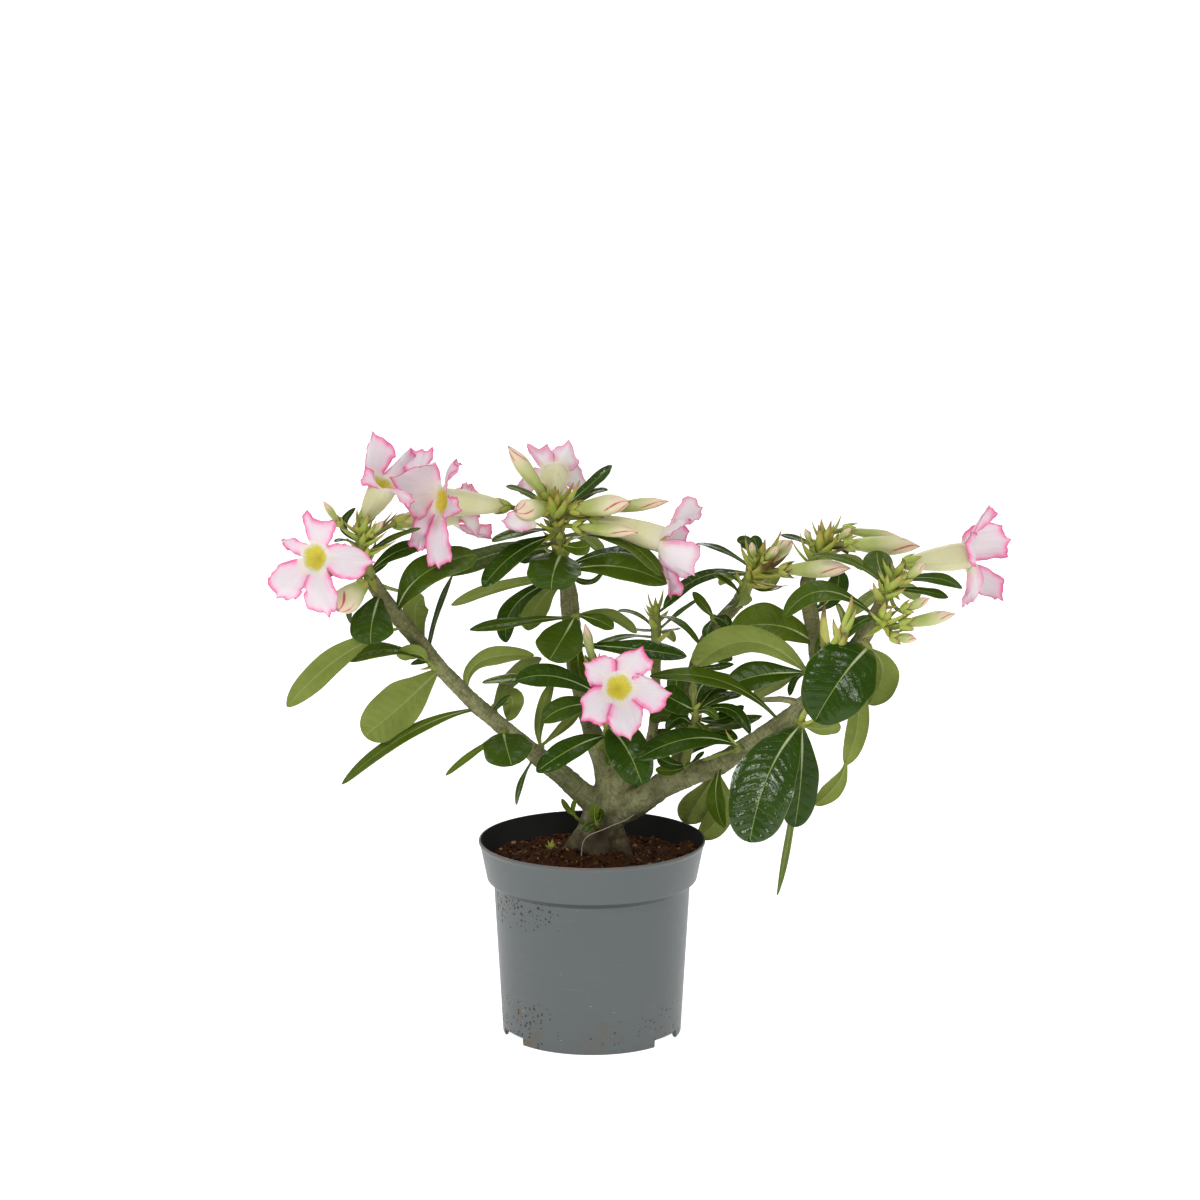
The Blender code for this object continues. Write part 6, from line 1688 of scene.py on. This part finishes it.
def pot(material):
    """The nursery pot with its rounded rim, stepped band, drains and notched foot."""
    profile = [
        (0, 0), (PAD_R, 0), (GUTTER_R[0], GUTTER_Z), (GUTTER_R[1], GUTTER_Z),
        (BASE_R - WALL, 0), (BASE_R, 0), (WALL_TOP_R, WALL_TOP_Z), (BAND_FOOT_R, BAND_FOOT_Z),
        (RIM_R - 0.9, POT_HEIGHT - 3.0), (RIM_R, POT_HEIGHT - 2.0), (RIM_R, POT_HEIGHT),
        (RIM_R - WALL, POT_HEIGHT),
        (BAND_FOOT_R - WALL, BAND_FOOT_Z + 0.5), (WALL_TOP_R - WALL, WALL_TOP_Z - 0.5),
        (BASE_R - WALL + 0.4, GUTTER_Z + WALL), (GUTTER_R[0] - 0.6, GUTTER_Z + WALL),
        (PAD_R - 0.6, WALL), (0, WALL),
    ]
    body = plain_object("pot_plastic_shell", *turned(eased(profile, POT_ROUNDING), POT_SIDES))
    cuts = [wedge(a, NOTCH_ANGLE, GUTTER_R[1] - 1.0, RIM_R, -3.0, NOTCH_HEIGHT)
            for a in NOTCH_AZIMUTHS]
    middle = sum(GUTTER_R) / 2
    turns = [math.tau * n / DRAIN_SIDES for n in range(DRAIN_SIDES)]
    ring = [Vector((math.cos(a), math.sin(a), 0)) * DRAIN_R for a in turns]
    faces = [tuple(range(DRAIN_SIDES)), tuple(range(DRAIN_SIDES, 2 * DRAIN_SIDES))]
    for n in range(DRAIN_SIDES):
        after = (n + 1) % DRAIN_SIDES
        faces.append((n, after, DRAIN_SIDES + after, DRAIN_SIDES + n))
    for k in range(DRAINS):
        a = math.tau * (k + 0.5) / DRAINS
        spot = Vector((middle * math.cos(a), middle * math.sin(a), 0))
        cuts.append(([spot + v for v in ring] + [spot + v + Vector((0, 0, DRAIN_CUT)) for v in ring],
                     faces))
    group = bpy.data.collections.new("cuts")
    bpy.context.scene.collection.children.link(group)
    cutters = [plain_object("pot_cut", *cut) for cut in cuts]
    for cutter in cutters:
        group.objects.link(cutter)
    step = body.modifiers.new("cut", "BOOLEAN")
    step.operand_type = "COLLECTION"
    step.collection = group
    step.solver = "EXACT"
    mesh = settled(body)
    for cutter in cutters:
        bpy.data.objects.remove(cutter)
    bpy.data.collections.remove(group)
    mesh.materials.clear()
    mesh.materials.append(material)
    mesh.shade_smooth()
    mesh.set_sharp_from_angle(angle=math.radians(POT_CRISP))
    show(body, "pot_plastic", "pot")


def dress_spray(name, paints):
    """A leafy shoot or tuft in fine form, with its bracts and flower stalks."""
    parts = SPRAYS[name]
    piece = Piece(name)
    lines = centre_lines(parts["stems"])

    def held(start, foot, tip, lobe, size):
        """Adds a stalk with its cup, and gives the way it points."""
        along = (seen(*tip) - seen(*foot)).normalized()
        stalk(piece, nearest(seen(*start), lines), seen(*foot), along, lobe, size, paints)
        return along

    for row in parts["stems"]:
        stem(piece, row, paints["stem"])
    for row in parts.get("leaves", []):
        leaf(piece, row, nearest(seen(*row[0]), lines), paints["leaf"])
    for row in parts.get("ends", []):
        leaf(piece, row, seen(*row[0]), paints["leaf"])
    top = max((line[-1] for line in lines), key=lambda spot: spot.z) + Vector((0, 0, 25))
    for foot, tip, radius, *dry in parts.get("spikes", []):
        bract(piece, nearest(seen(*foot), lines), seen(*tip), radius, top, paints["bract"], *dry)
    scales(piece, parts["stems"][0], SCALES.get(name, 0), paints["bract"])
    for table, lobe in ((BLOOMS, LOBE_LONG), (BUDS, BUD_LOBE_LONG)):
        for owner, start, foot, tip, _ in table.values():
            if owner == name:
                held(start, foot, tip, lobe, 1.0)
    for start, foot, tip, radius in SMALL_BUDS.get(name, []):
        along = held(start, foot, tip, BUD_LOBE_LONG, radius / 4)
        bud(piece, seen(*foot) - along, seen(*tip), radius, paints["bud"])
    piece.make(name + "_foliage", "leaf")


def dress_flowers(paints):
    """Every open flower and every large bud in fine form."""
    for name, (_, _, foot, throat, petals) in BLOOMS.items():
        piece = Piece("bloom_" + name)
        bloom(piece, seen(*foot), seen(*throat), petals, paints["petal"])
        piece.make("bloom_" + name + "_petals", "petal")
    for name, (_, _, foot, tip, radius) in BUDS.items():
        piece = Piece("bud_" + name)
        bud(piece, seen(*foot), seen(*tip), radius, paints["bud"])
        if name in LOOSE_PETALS:
            low, high, *ends = [np.array(seen(*spot)) for spot in LOOSE_PETALS[name]]
            shares = np.linspace(0, 1, PETAL_COLUMNS + 1)[:, None]
            base = low * (1 - shares) + high * shares
            petal(piece, base, unit(ends[0] - base), ends, 0.4, paints["petal"])
        piece.make("bud_" + name + "_skin", "bud")


def dress_lone_leaves(paints):
    """The leaves that grow singly from the bark."""
    lines = centre_lines(BRANCHES.values())
    for name, row in LONE_LEAVES.items():
        piece = Piece(name)
        leaf(piece, row, nearest(seen(*row[0]), lines), paints["leaf"])
        piece.make(name + "_blade", "leaf")


def studio():
    """A pale floor, broad soft lights and the camera of the front view."""
    mesh = bpy.data.meshes.new("floor")
    corners = [(x * FLOOR_HALF, y * FLOOR_HALF, 0) for x, y in ((-1, -1), (1, -1), (1, 1), (-1, 1))]
    mesh.from_pydata(corners, [], [(0, 1, 2, 3)])
    mesh.materials.append(floor_paint())
    floor = placed("floor", mesh)
    world = bpy.data.worlds.new("studio")
    bpy.context.scene.world = world
    world.use_nodes = True
    back = world.node_tree.nodes["Background"]
    back.inputs["Color"].default_value = (1.0, 1.0, 1.0, 1.0)
    back.inputs["Strength"].default_value = WORLD_GLOW
    for name, place, size, power in LAMPS:
        lamp = bpy.data.lights.new(name, "AREA")
        lamp.shape = "DISK"
        lamp.size = size
        lamp.energy = power
        thing = placed(name, lamp)
        thing.location = place
        aim = LAMP_AIM - Vector(place)
        thing.rotation_euler = aim.to_track_quat("-Z", "Y").to_euler()
    lens = bpy.data.cameras.new("front")
    lens.lens = LENS
    lens.sensor_width = SENSOR
    lens.shift_x = SHIFT_X
    lens.clip_end = FARTHEST
    camera = placed("front", lens)
    camera.location = EYE * MM
    camera.rotation_euler = (math.pi / 2 - EYE_PITCH, 0, 0)
    bpy.context.scene.camera = camera
    bpy.context.scene.view_settings.view_transform = "Standard"


def main():
    """Dresses the whole plant and sets up the studio."""
    paints = {"leaf": leaf_paint(), "stem": stem_paint(), "bract": bract_paint(),
              "petal": petal_paint(), "bud": bud_paint()}
    studio()
    pot(pot_paint())
    soil(peat_paint(), paints["bract"])
    bark(bark_paint())
    for name in SPRAYS:
        dress_spray(name, paints)
    dress_lone_leaves(paints)
    dress_flowers(paints)


main()
